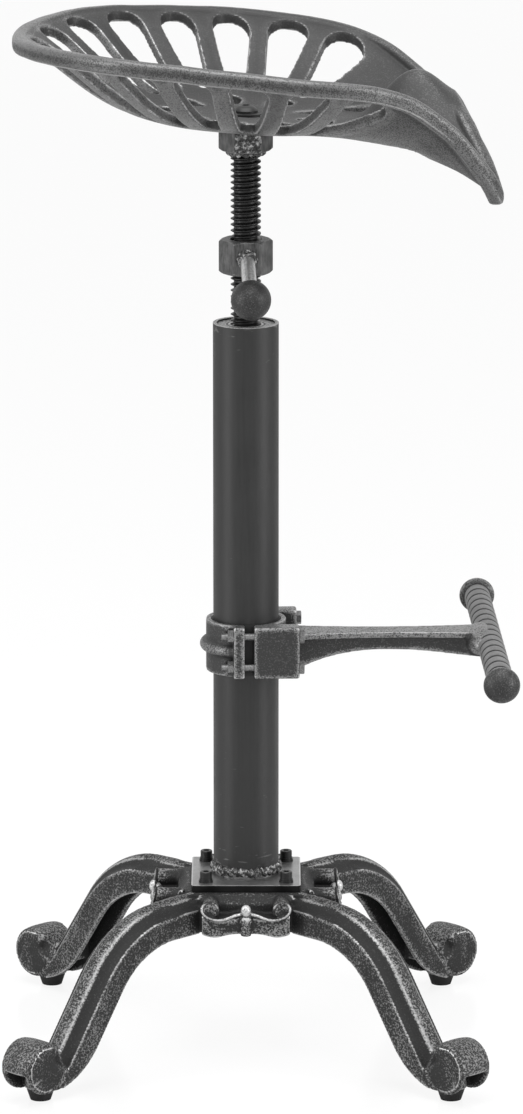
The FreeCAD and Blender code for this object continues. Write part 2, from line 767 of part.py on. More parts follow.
def clamp_liner():
    return ring(liner_radius, liner_bore, clamp_height, UP * clamp_bottom)


# Threaded rod and its stop

def threaded_rod():
    """The rod with its thread grooves, and a tapped hole in each end."""
    root = thread_radius - thread_depth
    turns = int(rod_length / thread_pitch)
    profile = [(0, 0), (root, 0)]
    for turn in range(turns):
        base = turn * thread_pitch
        profile.append((root, base + thread_pitch * 0.15))
        profile.append((thread_radius, base + thread_pitch * 0.42))
        profile.append((thread_radius, base + thread_pitch * 0.58))
        profile.append((root, base + thread_pitch * 0.85))
    profile += [(root, rod_length), (0, rod_length)]
    rod = revolved(profile, UP * rod_bottom)
    lower_hole = cylinder(end_screw_diameter / 2, end_screw_length, UP * rod_bottom)
    upper_hole = cylinder(seat_bolt_diameter / 2, seat_bolt_length, UP * (rod_top - seat_bolt_length))
    return rod.cut([lower_hole, upper_hole])


stop_washer_top = rod_bottom - sliding_gap
stop_washer_bottom = stop_washer_top - stop_washer_thickness


def rod_stop_washer():
    bore = end_screw_diameter / 2 + sliding_gap
    return ring(stop_washer_diameter / 2, bore, stop_washer_thickness, UP * stop_washer_bottom)


def rod_end_screw():
    head_top = stop_washer_bottom - sliding_gap
    head = cylinder(end_screw_head_diameter / 2, end_screw_head_height, UP * (head_top - end_screw_head_height))
    shank = cylinder(end_screw_diameter / 2, rod_bottom + end_screw_length - head_top, UP * head_top)
    return head.fuse(shank)


# Lock nut

lock_nut_middle = lock_nut_bottom + lock_nut_height / 2
grip_groove_radius = thread_bore + grip_ring_thickness + 2 * sliding_gap


def lock_nut():
    nut = hexagon(lock_nut_across_flats, lock_nut_height, UP * lock_nut_bottom)
    groove = cylinder(grip_groove_radius, grip_ring_height + sliding_gap, UP * lock_nut_bottom)
    return nut.cut([cylinder(thread_bore, lock_nut_height, UP * lock_nut_bottom), groove])


def lock_grip_ring():
    inner = thread_bore
    return ring(inner + grip_ring_thickness, inner, grip_ring_height, UP * lock_nut_bottom)


handle_direction = Vector(0, -math.cos(math.radians(handle_slope)), -math.sin(math.radians(handle_slope)))
nut_face_reach = lock_nut_across_flats / 2
handle_root = Vector(0, -nut_face_reach, lock_nut_middle)
ball_centre = handle_root + handle_direction * ((ball_reach - nut_face_reach) / math.cos(math.radians(handle_slope)))


def handle_rod():
    """The bare rod from the nut's face into the middle of the ball."""
    start = handle_root - handle_direction * handle_diameter
    length = (ball_centre - start).Length
    rod = cylinder(handle_diameter / 2, length, start, handle_direction)
    behind = block((-30, 30), (-nut_face_reach, 0), (lock_nut_bottom - 20, lock_nut_bottom + lock_nut_height + 20))
    return rod.cut(behind)


def lock_ball():
    ball = Part.makeSphere(ball_diameter / 2, ball_centre)
    start = handle_root
    length = (ball_centre - start).Length
    return ball.cut(cylinder(handle_diameter / 2, length, start, handle_direction))


def handle_weld():
    """The weld bead round the handle's root, flat against the nut's face."""
    bead = Part.makeSphere(handle_weld_radius, handle_root + Vector(0, handle_weld_radius * 0.35, 0))
    front = block((-20, 20), (-nut_face_reach - 20, -nut_face_reach), (lock_nut_bottom - 5, lock_nut_bottom + 40))
    bead = bead.common(front)
    rod = cylinder(handle_diameter / 2, 60, handle_root - handle_direction * 20, handle_direction)
    return bead.cut(rod)


# Seat

def smooth_between(stations, angle, column):
    """A smooth curve through the rim stations, even about the seat's front-to-back line."""
    angle = abs(angle)
    for index in range(len(stations) - 1):
        low, high = stations[index], stations[index + 1]
        if angle <= high[0]:
            break
    share = (angle - low[0]) / (high[0] - low[0])
    slopes = []
    for near in (index, index + 1):
        if near in (0, len(stations) - 1):
            slopes.append(0.0)
            continue
        before, after = stations[near - 1], stations[near + 1]
        slopes.append((after[column] - before[column]) / (after[0] - before[0]))
    run = high[0] - low[0]
    share_2 = share * share
    share_3 = share_2 * share
    value = low[column] * (2 * share_3 - 3 * share_2 + 1) + high[column] * (3 * share_2 - 2 * share_3)
    return value + run * (slopes[0] * (share_3 - 2 * share_2 + share) + slopes[1] * (share_3 - share_2))


def rim_reach(angle):
    return smooth_between(rim_stations, angle, 1)


def rim_height(angle):
    return smooth_between(rim_stations, angle, 2)


def ease(share):
    share = min(1.0, max(0.0, share))
    return share * share * (3 - 2 * share)


def dish_height(x, y):
    """The height of the seat's upper face: a bowl that turns into two drooping lobes and a pommel."""
    angle = math.degrees(math.atan2(y, x))
    share = math.hypot(x, y) / rim_reach(angle)
    bowl = 0.5 - 0.5 * math.cos(math.pi * min(share, 1.0) ** dish_fullness)
    lobe = share ** lobe_fullness
    lobe_weight = ease((lobe_end_angle - abs(angle)) / lobe_blend_angle)
    rise = rim_height(angle) * (lobe * lobe_weight + bowl * (1 - lobe_weight))
    swell = math.exp(-((share - pommel_crest) / pommel_length) ** 2)
    at_edge = math.exp(-((1 - pommel_crest) / pommel_length) ** 2)
    pommel = max(0.0, swell - share * at_edge) * math.exp(-(angle / pommel_spread) ** 2)
    fall = dish_tilt * x * max(0.0, 1 - share * share)
    return dish_floor + rise + pommel_rise * pommel - fall


def seat_face(depth):
    """A smooth face over the whole seat, at a depth under its upper face, measured square to it."""
    rows = []
    for x_step in range(seat_grid_steps + 1):
        x = -seat_grid_reach + 2 * seat_grid_reach * x_step / seat_grid_steps
        row = []
        for y_step in range(seat_grid_steps + 1):
            y = -seat_grid_reach + 2 * seat_grid_reach * y_step / seat_grid_steps
            fall_x = (dish_height(x + 2, y) - dish_height(x - 2, y)) / 4
            fall_y = (dish_height(x, y + 2) - dish_height(x, y - 2)) / 4
            steepness = min(2.0, math.hypot(fall_x, fall_y))
            row.append(Vector(x, y, dish_height(x, y) - depth * math.hypot(1, steepness)))
        rows.append(row)
    surface = Part.BSplineSurface()
    surface.interpolate(rows)
    return surface.toShape()


def seat_plan():
    """The seat's outline from above, with its slots and holes cut out."""
    points = []
    for angle in range(-180, 180, 8):
        turn = math.radians(angle)
        points.append(Vector(math.cos(turn), math.sin(turn), 0) * rim_reach(angle))
    outline = Part.BSplineCurve()
    outline.interpolate(points, True)
    first, last = outline.FirstParameter, outline.LastParameter
    step = (last - first) / outline_pieces
    edges = [outline.toShape(first + piece * step, first + (piece + 1) * step)
             for piece in range(outline_pieces)]
    plan = Part.Face(Part.Wire(edges))
    plan.translate(UP * (dish_floor - seat_grid_reach))
    return plan.extrude(UP * 2 * seat_grid_reach).cut(seat_slots())


def rounded_slot(angle, inner, outer, inner_half, outer_half):
    """A tapered slot with round ends, cut straight down, along a ray at an angle."""
    taper = (outer_half - inner_half) / (outer - inner)
    inner_centre = inner + inner_half
    outer_centre = outer - outer_half
    lean = math.sin(math.atan(taper))
    upright = math.cos(math.atan(taper))
    near_side = [(inner_centre - inner_half * lean, inner_half * upright)]
    far_side = [(outer_centre - outer_half * lean, outer_half * upright)]
    points = near_side + far_side

    def at(x, y):
        return Vector(x, y, 0)

    edges = [
        Part.LineSegment(at(*points[0]), at(*points[1])).toShape(),
        Part.Arc(at(*points[1]), at(outer, 0), at(points[1][0], -points[1][1])).toShape(),
        Part.LineSegment(at(points[1][0], -points[1][1]), at(points[0][0], -points[0][1])).toShape(),
        Part.Arc(at(points[0][0], -points[0][1]), at(inner, 0), at(*points[0])).toShape(),
    ]
    slot = Part.Face(Part.Wire(edges))
    slot.translate(UP * (dish_floor - seat_grid_reach - 1))
    slot = slot.extrude(UP * (2 * seat_grid_reach + 2))
    return turned(slot, angle)


def seat_slots():
    slots = []
    half_pitch = math.radians(slot_pitch / 2)
    for side in (-1, 1):
        for index in range(slots_per_side):
            angle = first_slot_angle + index * slot_pitch
            outer = rim_reach(angle) - slot_rim_margin
            inner_half = slot_inner_radius * math.tan(half_pitch) - slot_bar / 2
            outer_half = (outer - 18) * math.tan(half_pitch) - slot_bar / 2
            slots.append(rounded_slot(side * angle, slot_inner_radius, outer, inner_half, outer_half))
            if index == 0 and side < 0:
                back_outer = rim_reach(180) - slot_rim_margin
                back_half = (back_outer - 18) * math.tan(half_pitch) - slot_bar / 2
                slots.append(rounded_slot(180, slot_inner_radius, back_outer, inner_half, back_half))
        slots.append(rounded_slot(side * front_slot_angle, front_slot_start, front_slot_end,
                                  front_slot_inner_half_width, front_slot_outer_half_width))
    for index in range(hole_count):
        angle = 180 + 360 * index / hole_count
        inner = hole_ring_radius - hole_half_length
        outer = hole_ring_radius + hole_half_length
        slots.append(rounded_slot(angle, inner, outer, hole_inner_half_width, hole_outer_half_width))
    return slots


def seat_casting():
    above = seat_face(0).extrude(UP * 2 * seat_grid_reach)
    below = seat_face(seat_wall).extrude(-UP * 2 * seat_grid_reach)
    shell = seat_plan().cut(above).cut(below)
    boss = cylinder(boss_radius, seat_wall / 2 + boss_drop, UP * boss_bottom)
    spot_face = cylinder(spot_face_radius, seat_wall, UP * washer_seat)
    bolt_hole = cylinder(seat_bolt_diameter / 2 + hole_play, seat_wall + boss_drop, UP * boss_bottom)
    return shell.fuse(boss).cut(spot_face).cut(bolt_hole)


def seat_hub_nut():
    nut = hexagon(hub_nut_across_flats, hub_nut_height, UP * hub_nut_bottom)
    socket = cylinder(thread_radius, rod_top - hub_nut_bottom, UP * hub_nut_bottom)
    bolt_hole = cylinder(seat_bolt_diameter / 2 + hole_play, hub_nut_height, UP * hub_nut_bottom)
    return nut.cut([socket, bolt_hole])


def hub_weld():
    outer = thread_radius + hub_weld_width
    bottom = hub_nut_bottom - hub_weld_height
    profile = [(thread_radius, bottom), (thread_radius + 1.2, bottom)]
    profile += [(outer, hub_nut_bottom - 1.2), (outer, hub_nut_bottom), (thread_radius, hub_nut_bottom)]
    return revolved(profile)


def seat_bolt_washer():
    return ring(seat_washer_diameter / 2, seat_bolt_diameter / 2 + hole_play, seat_washer_thickness,
                UP * washer_seat)


def seat_bolt():
    head_base = washer_seat + seat_washer_thickness
    radius = seat_bolt_head_diameter / 2
    dome = Part.Arc(Vector(radius, 0, seat_bolt_head_height * 0.3),
                    Vector(radius * 0.72, 0, seat_bolt_head_height * 0.78),
                    Vector(0, 0, seat_bolt_head_height)).toShape()
    edges = [
        Part.LineSegment(CENTRE, Vector(radius, 0, 0)).toShape(),
        Part.LineSegment(Vector(radius, 0, 0), Vector(radius, 0, seat_bolt_head_height * 0.3)).toShape(),
        dome,
        Part.LineSegment(Vector(0, 0, seat_bolt_head_height), CENTRE).toShape(),
    ]
    head = Part.Face(Part.Wire(edges)).revolve(CENTRE, UP, 360)
    head.translate(UP * head_base)
    socket = hexagon(seat_bolt_socket_across_flats, seat_bolt_head_height,
                     UP * (head_base + seat_bolt_head_height - seat_bolt_socket_depth))
    bottom = rod_top - seat_bolt_length
    shank = cylinder(seat_bolt_diameter / 2, head_base + 1 - bottom, UP * bottom)
    return head.fuse(shank).cut(socket)


os.makedirs("parts", exist_ok=True)

write("base_casting", base_casting())
for number in range(4):
    write("foot_pad_%d" % (number + 1), turned(foot_pad(), 45 + 90 * number))
write("foot_pad_screws", [turned(pad_screw(), 45 + 90 * number) for number in range(4)])
write("column_flange", column_flange())
write("flange_weld", flange_weld())
write("column_tube", column_tube())
write("column_head_nut", column_head_nut())
flange_screws, flange_spring_washers, flange_washers, flange_nuts = flange_screw_set()
write("flange_screws", flange_screws)
write("flange_spring_washers", flange_spring_washers)
write("flange_washers", flange_washers)
write("flange_nuts", flange_nuts)

write("clamp_liner", clamp_liner())
write("footrest_arm", turned(footrest_arm(), footrest_turn))
write("clamp_rear", turned(clamp_rear(), footrest_turn))
write("clamp_bolts", [turned(bolt, footrest_turn) for bolt in clamp_bolts()])
write("clamp_nuts", [turned(nut, footrest_turn) for nut in clamp_nuts()])
write("footrest_bar", turned(footrest_bar(), footrest_turn))
write("bar_cap_near", turned(bar_cap(-1), footrest_turn))
write("bar_cap_far", turned(bar_cap(1), footrest_turn))

write("rod_stop_washer", rod_stop_washer())
write("rod_end_screw", rod_end_screw())
write("threaded_rod", threaded_rod())
write("hub_weld", hub_weld())
write("seat_hub_nut", turned(seat_hub_nut(), seat_turn))
write("seat_casting", turned(seat_casting(), seat_turn))
write("seat_bolt_washer", seat_bolt_washer())
write("seat_bolt", seat_bolt())

write("lock_grip_ring", lock_grip_ring())
write("lock_nut", turned(lock_nut(), lock_turn))
write("handle_weld", turned(handle_weld(), lock_turn))
write("handle_rod", turned(handle_rod(), lock_turn))
write("lock_ball", turned(lock_ball(), lock_turn))
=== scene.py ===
# %% [markdown]
# A stool with a pierced iron seat on a screw, a steel column, a clamped footrest and a scrolled
# cast base. The exact model gives every place and size, in metres, with the floor at Z = 0 and the
# column on the Z axis. This lesson loads it, gives its castings the soft edges and the grain of
# sand-cast iron, cuts the real thread, lays the weld beads, and then lights the stool as a studio
# would.

# %% Load the exact model
import math

import bpy
import numpy as np
from mathutils import Matrix, Vector


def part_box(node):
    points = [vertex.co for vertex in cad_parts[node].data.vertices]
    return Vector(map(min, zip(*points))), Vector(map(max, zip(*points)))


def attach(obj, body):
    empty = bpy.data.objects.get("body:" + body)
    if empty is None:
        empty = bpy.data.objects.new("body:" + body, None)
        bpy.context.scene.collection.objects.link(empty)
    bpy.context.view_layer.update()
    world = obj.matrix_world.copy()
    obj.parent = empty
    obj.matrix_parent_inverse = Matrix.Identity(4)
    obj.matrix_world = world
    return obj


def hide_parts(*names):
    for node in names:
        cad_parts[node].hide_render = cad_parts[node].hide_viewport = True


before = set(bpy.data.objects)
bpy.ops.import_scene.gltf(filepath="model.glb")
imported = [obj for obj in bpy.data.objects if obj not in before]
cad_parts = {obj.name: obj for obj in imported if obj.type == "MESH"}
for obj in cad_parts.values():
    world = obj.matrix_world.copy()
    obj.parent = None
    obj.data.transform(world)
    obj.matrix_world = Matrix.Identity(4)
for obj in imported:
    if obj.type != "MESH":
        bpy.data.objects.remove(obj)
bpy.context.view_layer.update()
MM = 0.001


def new_object(name, data):
    """A new object that is already in the scene."""
    made = bpy.data.objects.new(name, data)
    bpy.context.scene.collection.objects.link(made)
    return made


print("parts loaded:", len(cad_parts))

# %% [markdown]
# The camera stands far off with a long lens, thirteen degrees above level, and looks along +Y. A
# near camera with a short lens would splay the legs. The picture is taller than wide, so the sensor
# is measured along its height, and the focal length is given in pixels of that height.

# %% Camera
camera_distance = 6.059
camera_pitch = 13
sensor_height = 36
picture_height = 1114
focal_pixels = 7300
aim = Vector((0.0129, 0, 0.4170))
camera = new_object("camera", bpy.data.cameras.new("camera"))
back = Vector((0, -math.cos(math.radians(camera_pitch)), math.sin(math.radians(camera_pitch))))
camera.location = aim + back * camera_distance
camera.rotation_euler = (math.radians(90 - camera_pitch), 0, 0)
camera.data.sensor_fit = "VERTICAL"
camera.data.sensor_height = sensor_height
camera.data.lens = sensor_height * focal_pixels / picture_height
bpy.context.scene.camera = camera
print("lens:", round(camera.data.lens, 1), "mm")

# %% [markdown]
# Shader maths reads best as sums, so one small class wraps a socket and builds the Math nodes.
# Its add method makes any other node: the settings go in first, then the inputs.

# %% A socket that can be added and multiplied
class Signal:
    """A socket of a shader tree that stands for a value in a sum."""

    def __init__(self, tree, socket=None):
        self.tree = tree
        self.socket = socket

    def add(self, kind, settings=None, inputs=None, output=0):
        node = self.tree.nodes.new("ShaderNode" + kind)
        for name, value in (settings or {}).items():
            setattr(node, name, value)
        for name, value in (inputs or {}).items():
            if isinstance(value, Signal):
                self.tree.links.new(value.socket, node.inputs[name])
            else:
                node.inputs[name].default_value = value
        return Signal(self.tree, node.outputs[output])

    def maths(self, operation, first, second):
        return self.add("Math", {"operation": operation}, {0: first, 1: second})

    def __add__(self, other):
        return self.maths("ADD", self, other)

    def __radd__(self, other):
        return self.maths("ADD", other, self)

    def __sub__(self, other):
        return self.maths("SUBTRACT", self, other)

    def __rsub__(self, other):
        return self.maths("SUBTRACT", other, self)

    def __mul__(self, other):
        return self.maths("MULTIPLY", self, other)

    def __rmul__(self, other):
        return self.maths("MULTIPLY", other, self)

    def between(self, low, high):
        """Nought at the low value, one at the high value, and smooth in between."""
        return self.add("MapRange", {"interpolation_type": "SMOOTHSTEP"},
                        {"Value": self, "From Min": low, "From Max": high})


print("the socket class is ready")

# %% [markdown]
# Every finish starts the same way: a material with one Principled shader, whose fixed values are
# set on its own sockets, and a signal that holds the place on the object.

# %% Start a material
def new_finish(name, **fixed):
    material = bpy.data.materials.new(name)
    material.use_nodes = True
    tree = material.node_tree
    shader = tree.nodes["Principled BSDF"]
    for socket, value in fixed.items():
        shader.inputs[socket.replace("_", " ")].default_value = value
    start = Signal(tree)
    place = start.add("TexCoord", output=3)
    return material, shader, start, place


def noise(place, scale, detail=2.0, roughness=0.5):
    inputs = {"Vector": place, "Scale": scale, "Detail": detail, "Roughness": roughness}
    return place.add("TexNoise", None, inputs)


def grey_mix(amount, dark, light):
    """A colour that goes from one grey to another as the amount goes from nought to one."""
    ends = {6: (dark, dark, dark, 1), 7: (light, light, light, 1)}
    return amount.add("Mix", {"data_type": "RGBA"}, {"Factor": amount, **ends}, output=2)


def grey(level):
    """A grey colour whose brightness is the signal itself."""
    return grey_mix(level, 0, 1)


def from_axis(place):
    """How far a point is from the column's axis."""
    flat = place.add("VectorMath", {"operation": "MULTIPLY"}, {0: place, 1: (1, 1, 0)})
    return flat.add("VectorMath", {"operation": "LENGTH"}, {0: flat}, output=1)


def along_axis(place, axis):
    """The part of a place along X, Y or Z, for axis 0, 1 or 2."""
    return place.add("SeparateXYZ", None, {0: place}, output=axis)


def marked_on(start, name):
    """A value that the mesh keeps at each vertex."""
    return start.add("Attribute", {"attribute_name": name}, output=2)


def wire(shader, socket, signal):
    signal.tree.links.new(signal.socket, shader.inputs[socket])


def bumped(height, strength, distance):
    return height.add("Bump", None, {"Height": height, "Strength": strength, "Distance": distance})


print("the finish helpers are ready")

# %% [markdown]
# Sand-cast iron, dipped dark and then rubbed, is sprinkled with silvery grains where it stands
# proud, and bright along its edges. Its hollows are darkened towards black, partly as dark patina
# and partly as painted shade. The Pointiness of the Geometry node could find the edges, but it
# can't be corrected by place, so two attributes of the mesh say where they are: wear is high on a
# narrow edge, and rub is high on a broad ridge and below nought in a hollow. Rub also carries
# painted light and shade, set by place on some castings. They are measured on each casting, as
# shown further down. The specks are the peaks of a fine noise, and a coarse noise gathers them in
# patches.

# %% Cast iron
speck_ramp = 0.17
patch_size = 12


def iron_finish(name, dark, light, worn, grain_size, speck_start, bump_depth, gloss=0.0):
    material, shader, start, place = new_finish(name)
    grain = noise(place, 1 / grain_size, 2.5, 0.62)
    patches = noise(place, 1 / (grain_size * patch_size), 3.0)
    wear = marked_on(start, "wear")
    rub_and_painted_light = marked_on(start, "rub_and_painted_light")
    # Brighter specks where the casting is rubbed, and painted light where rub was raised on lit
    # faces.
    rubbed_and_lit = rub_and_painted_light.between(0.2, 1.3)
    specks = (grain + rubbed_and_lit * 0.15 + patches * 0.12).between(speck_start, speck_start + speck_ramp)
    # Painted shade in part: hollows are darkened, partly as dark patina and partly as painted
    # shade.
    dark_patina_and_shade = 1 - rub_and_painted_light.between(-1.1, -0.05)
    edge = wear.between(0.42, 0.95) * grain.between(0.26, 0.48)
    level = (specks * (rubbed_and_lit * 1.3 + 0.55) * (light - dark) + dark) * (1 - dark_patina_and_shade * 0.6)
    level = level * (1 - edge) + edge * worn
    wire(shader, "Base Color", grey(level))
    wire(shader, "Metallic", specks * 0.35 + edge * 0.3 + 0.2)
    wire(shader, "Roughness", 0.64 - gloss - specks * 0.18 - edge * 0.12)
    wire(shader, "Normal", bumped(grain, 0.7, bump_depth))
    return material


iron = iron_finish("sand_cast_iron", dark=0.012, light=0.15, worn=0.60,
                   grain_size=1.5 * MM, speck_start=0.62, bump_depth=0.45 * MM)
seat_iron = iron_finish("seat_cast_iron", dark=0.024, light=0.095, worn=0.42,
                        grain_size=1.1 * MM, speck_start=0.56, bump_depth=0.22 * MM, gloss=0.12)
fine_iron = iron_finish("fine_cast_iron", dark=0.026, light=0.15, worn=0.45,
                        grain_size=1.2 * MM, speck_start=0.58, bump_depth=0.25 * MM, gloss=0.08)
dark_iron = iron_finish("dark_cast_iron", dark=0.018, light=0.10, worn=0.36,
                        grain_size=1.0 * MM, speck_start=0.60, bump_depth=0.2 * MM, gloss=0.14)
print("iron finishes:", iron.name, seat_iron.name, fine_iron.name, dark_iron.name)

# %% [markdown]
# The column is drawn tube under a thin dark lacquer: smooth, with faint long streaks and a few
# scuffs, more of them near its two ends. The streaks are a noise stretched along Z by a Mapping
# node, and the scuffs are the same noise stretched sideways. The cut upper end is bare and pale,
# which the height alone can tell, so the tube keeps its exact mesh.

# %% Lacquered tube
tube_low, tube_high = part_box("column_tube")


def tube_finish():
    material, shader, start, place = new_finish("lacquered_tube")
    height = along_axis(place, 2)
    long_place = place.add("Mapping", None, {"Vector": place, "Scale": (1, 1, 0.04)})
    streaks = noise(long_place, 420, 3.0)
    clouds = noise(place, 26, 4.0)
    wide_place = place.add("Mapping", None, {"Vector": place, "Scale": (0.25, 0.25, 1)})
    scuffs = noise(wide_place, 300, 2.0)
    near_top = height.between(tube_high.z - 9 * MM, tube_high.z - 5 * MM)
    near_foot = 1 - height.between(tube_low.z + 8 * MM, tube_low.z + 26 * MM)
    ends = near_top + near_foot * 0.8
    tone = streaks.between(0.3, 0.7) * 0.5 + clouds.between(0.3, 0.7) * 0.5
    scuffed = (scuffs + ends * 0.13).between(0.70, 0.78) * (clouds + ends * 0.2).between(0.5, 0.62)
    cut_end = height.between(tube_high.z - 0.3 * MM, tube_high.z - 0.1 * MM)
    speck = noise(place, 900, 2.0).between(0.4, 0.6)
    level = (tone * 0.008 + 0.007) * (1 - scuffed) + scuffed * 0.10
    level = level * (1 - cut_end) + cut_end * (speck * 0.3 + 0.25)
    wire(shader, "Base Color", grey(level))
    wire(shader, "Roughness", 0.40 + tone * 0.12)
    wire(shader, "Normal", bumped(streaks, 0.08, 0.1 * MM))
    return material


tube_paint = tube_finish()
print("tube finish:", tube_paint.name)

# %% [markdown]
# The square plate's top is painted light and its sides near black, as painted light from above
# that falls on the top and not on the sides, which a mask made from the height tells apart. Its top
# has a painted highlight along a bright border, where the larger of the distances along X and Y
# nears the edge. In the top of the tube, a dark seam runs round the bright collar that the screw
# turns in, so that finish goes by the distance from the axis.

# %% Plate and collar
plate_thickness = 6 * MM
plate_low, plate_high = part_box("column_flange")


def plate_finish():
    material, shader, start, place = new_finish("flange_plate", Metallic=0.8)
    plate_top = plate_low.z + plate_thickness
    on_top = along_axis(place, 2).between(plate_top - 0.5 * MM, plate_top - 0.1 * MM)
    grain = noise(place, 800, 3.0)
    clouds = noise(place, 60, 3.0)
    sides = [along_axis(place, axis) for axis in (0, 1)]
    farther = place.maths("MAXIMUM", *(side.maths("ABSOLUTE", side, 0.0) for side in sides))
    # Painted light: the top is light, with a painted highlight along its border, and the sides stay
    # near black.
    border = farther.between(plate_high.x - 1.3 * MM, plate_high.x - 0.6 * MM)
    lit_top = grain.between(0.3, 0.7) * 0.10 + clouds.between(0.3, 0.7) * 0.07 + 0.16 + border * 0.25
    level = on_top * lit_top + 0.010
    wire(shader, "Base Color", grey(level))
    wire(shader, "Roughness", 0.26 + grain * 0.15)
    wire(shader, "Normal", bumped(grain, 0.3, 0.06 * MM))
    return material


def collar_finish():
    material, shader, start, place = new_finish("tube_collar", Metallic=0.5)
    reach = from_axis(place)
    seam = reach.between(14.6 * MM, 15.1 * MM) * (1 - reach.between(16.0 * MM, 16.5 * MM))
    bead = 1 - reach.between(14.0 * MM, 15.0 * MM)
    grain = noise(place, 700, 3.0)
    level = (grain.between(0.35, 0.65) * 0.35 + bead * 0.25 + 0.12) * (1 - seam) + 0.006
    wire(shader, "Base Color", grey(level))
    wire(shader, "Roughness", 0.4 + grain * 0.15)
    wire(shader, "Normal", bumped(grain - seam, 0.6, 0.2 * MM))
    return material


plate_steel = plate_finish()
collar_steel = collar_finish()
print("plate and collar:", plate_steel.name, collar_steel.name)

# %% [markdown]
# Small steel parts, rubber and nylon need only a tone, a grain and a roughness of their own, so
# they share one function. The weld metal has bright flakes, and the nuts have fine upright brush
# marks and bright corners.

# %% Plain finishes
def plain_finish(name, dark, light, metallic, rough, grain_size, bump_depth):
    material, shader, start, place = new_finish(name, Metallic=metallic)
    grain = noise(place, 1 / grain_size, 3.0)
    tone = grain.between(0.3, 0.7)
    wire(shader, "Base Color", grey_mix(tone, dark, light))
    wire(shader, "Roughness", rough + tone * 0.12)
    wire(shader, "Normal", bumped(grain, 0.3, bump_depth))
    return material


black_steel = plain_finish("black_oxide_steel", 0.008, 0.016, 0.3, 0.32, 0.8 * MM, 0.05 * MM)
thread_steel = plain_finish("black_oiled_thread", 0.004, 0.013, 0.3, 0.34, 1.2 * MM, 0.08 * MM)
bright_rod = plain_finish("drawn_bright_rod", 0.40, 0.60, 0.9, 0.28, 2.0 * MM, 0.03 * MM)
zinc_steel = plain_finish("zinc_plated_steel", 0.12, 0.26, 0.75, 0.30, 1.2 * MM, 0.06 * MM)
pad_rubber = plain_finish("pad_rubber", 0.006, 0.012, 0.0, 0.55, 0.6 * MM, 0.05 * MM)
pale_nylon = plain_finish("pale_nylon", 0.45, 0.55, 0.0, 0.45, 1.0 * MM, 0.02 * MM)


def weld_finish():
    material, shader, start, place = new_finish("weld_metal", Metallic=0.6)
    flakes = noise(place, 330, 3.0, 0.6).between(0.45, 0.68)
    fine = noise(place, 1400, 2.0)
    wire(shader, "Base Color", grey(flakes * 0.42 + fine * 0.09))
    wire(shader, "Roughness", 0.5 - flakes * 0.15)
    wire(shader, "Normal", bumped(flakes + fine * 0.4, 0.8, 0.5 * MM))
    return material


def nut_finish():
    material, shader, start, place = new_finish("turned_nut_steel", Metallic=0.45)
    upright = place.add("Mapping", None, {"Vector": place, "Scale": (1, 1, 0.12)})
    brush = noise(upright, 900, 3.0)
    clouds = noise(place, 110, 3.0)
    edge = marked_on(start, "wear").between(0.35, 0.9)
    level = brush.between(0.3, 0.7) * 0.06 + clouds.between(0.3, 0.7) * 0.07 + 0.028
    wire(shader, "Base Color", grey(level * (1 - edge) + edge * 0.25))
    wire(shader, "Roughness", 0.42 + brush * 0.15)
    wire(shader, "Normal", bumped(brush + clouds, 0.5, 0.12 * MM))
    return material


weld_metal = weld_finish()
nut_steel = nut_finish()
print("plain finishes:", len(bpy.data.materials))

# %% [markdown]
# The exact parts keep their own meshes. Those whose shape is already right only get a finish, by
# a list of parts for each one.

# %% Finish the parts that stay as they are
def paint(piece, material):
    piece.data.materials.clear()
    piece.data.materials.append(material)


staying = {
    tube_paint: ["column_tube"],
    black_steel: ["flange_screws", "flange_spring_washers", "flange_washers", "flange_nuts",
                  "foot_pad_screws", "rod_stop_washer", "rod_end_screw", "seat_bolt_washer",
                  "seat_bolt"],
    zinc_steel: ["clamp_bolts", "clamp_nuts"],
    plate_steel: ["column_flange"],
    collar_steel: ["column_head_nut"],
    bright_rod: ["handle_rod"],
    pad_rubber: ["foot_pad_1", "foot_pad_2", "foot_pad_3", "foot_pad_4", "clamp_liner"],
    pale_nylon: ["lock_grip_ring"],
}
for material, names in staying.items():
    for name in names:
        paint(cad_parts[name], material)
print("parts finished in place:", sum(len(names) for names in staying.values()))

# %% [markdown]
# Operators act on whatever is selected, so each step first selects one piece and nothing else. A
# vertex is quicker to move by its number than by hand, so three helpers read and write the places
# of all vertices at once, and two more keep one value for each vertex.

# %% Selecting, applying and marking
hair = 0.001 * MM


def only(piece):
    bpy.ops.object.select_all(action="DESELECT")
    piece.select_set(True)
    bpy.context.view_layer.objects.active = piece


def apply_modifier(piece, kind, **settings):
    modifier = piece.modifiers.new(kind.lower(), kind)
    for name, value in settings.items():
        setattr(modifier, name, value)
    only(piece)
    bpy.ops.object.modifier_apply(modifier=modifier.name)


def vertex_places(mesh):
    places = np.empty(len(mesh.vertices) * 3)
    mesh.vertices.foreach_get("co", places)
    return places.reshape(-1, 3)


def vertex_normals(mesh):
    normals = np.empty(len(mesh.vertices) * 3, np.float32)
    mesh.vertex_normals.foreach_get("vector", normals)
    return normals.reshape(-1, 3)


def move_vertices(mesh, places):
    mesh.vertices.foreach_set("co", places.ravel())
    mesh.update()


def mark(mesh, name, values):
    """Keep one value for each vertex, for the finishes to read."""
    layer = mesh.attributes.get(name) or mesh.attributes.new(name, "FLOAT", "POINT")
    layer.data.foreach_set("value", values.astype(np.float32))


def marked(mesh, name):
    values = np.empty(len(mesh.vertices), np.float32)
    mesh.attributes[name].data.foreach_get("value", values)
    return values


def clean_mesh(piece, merge=hair, outward=True):
    """Merge the doubles of a mesh, and turn all its faces outward if asked."""
    only(piece)
    bpy.ops.object.mode_set(mode="EDIT")
    bpy.ops.mesh.select_all(action="SELECT")
    bpy.ops.mesh.remove_doubles(threshold=merge)
    if outward:
        bpy.ops.mesh.normals_make_consistent(inside=False)
    bpy.ops.object.mode_set(mode="OBJECT")


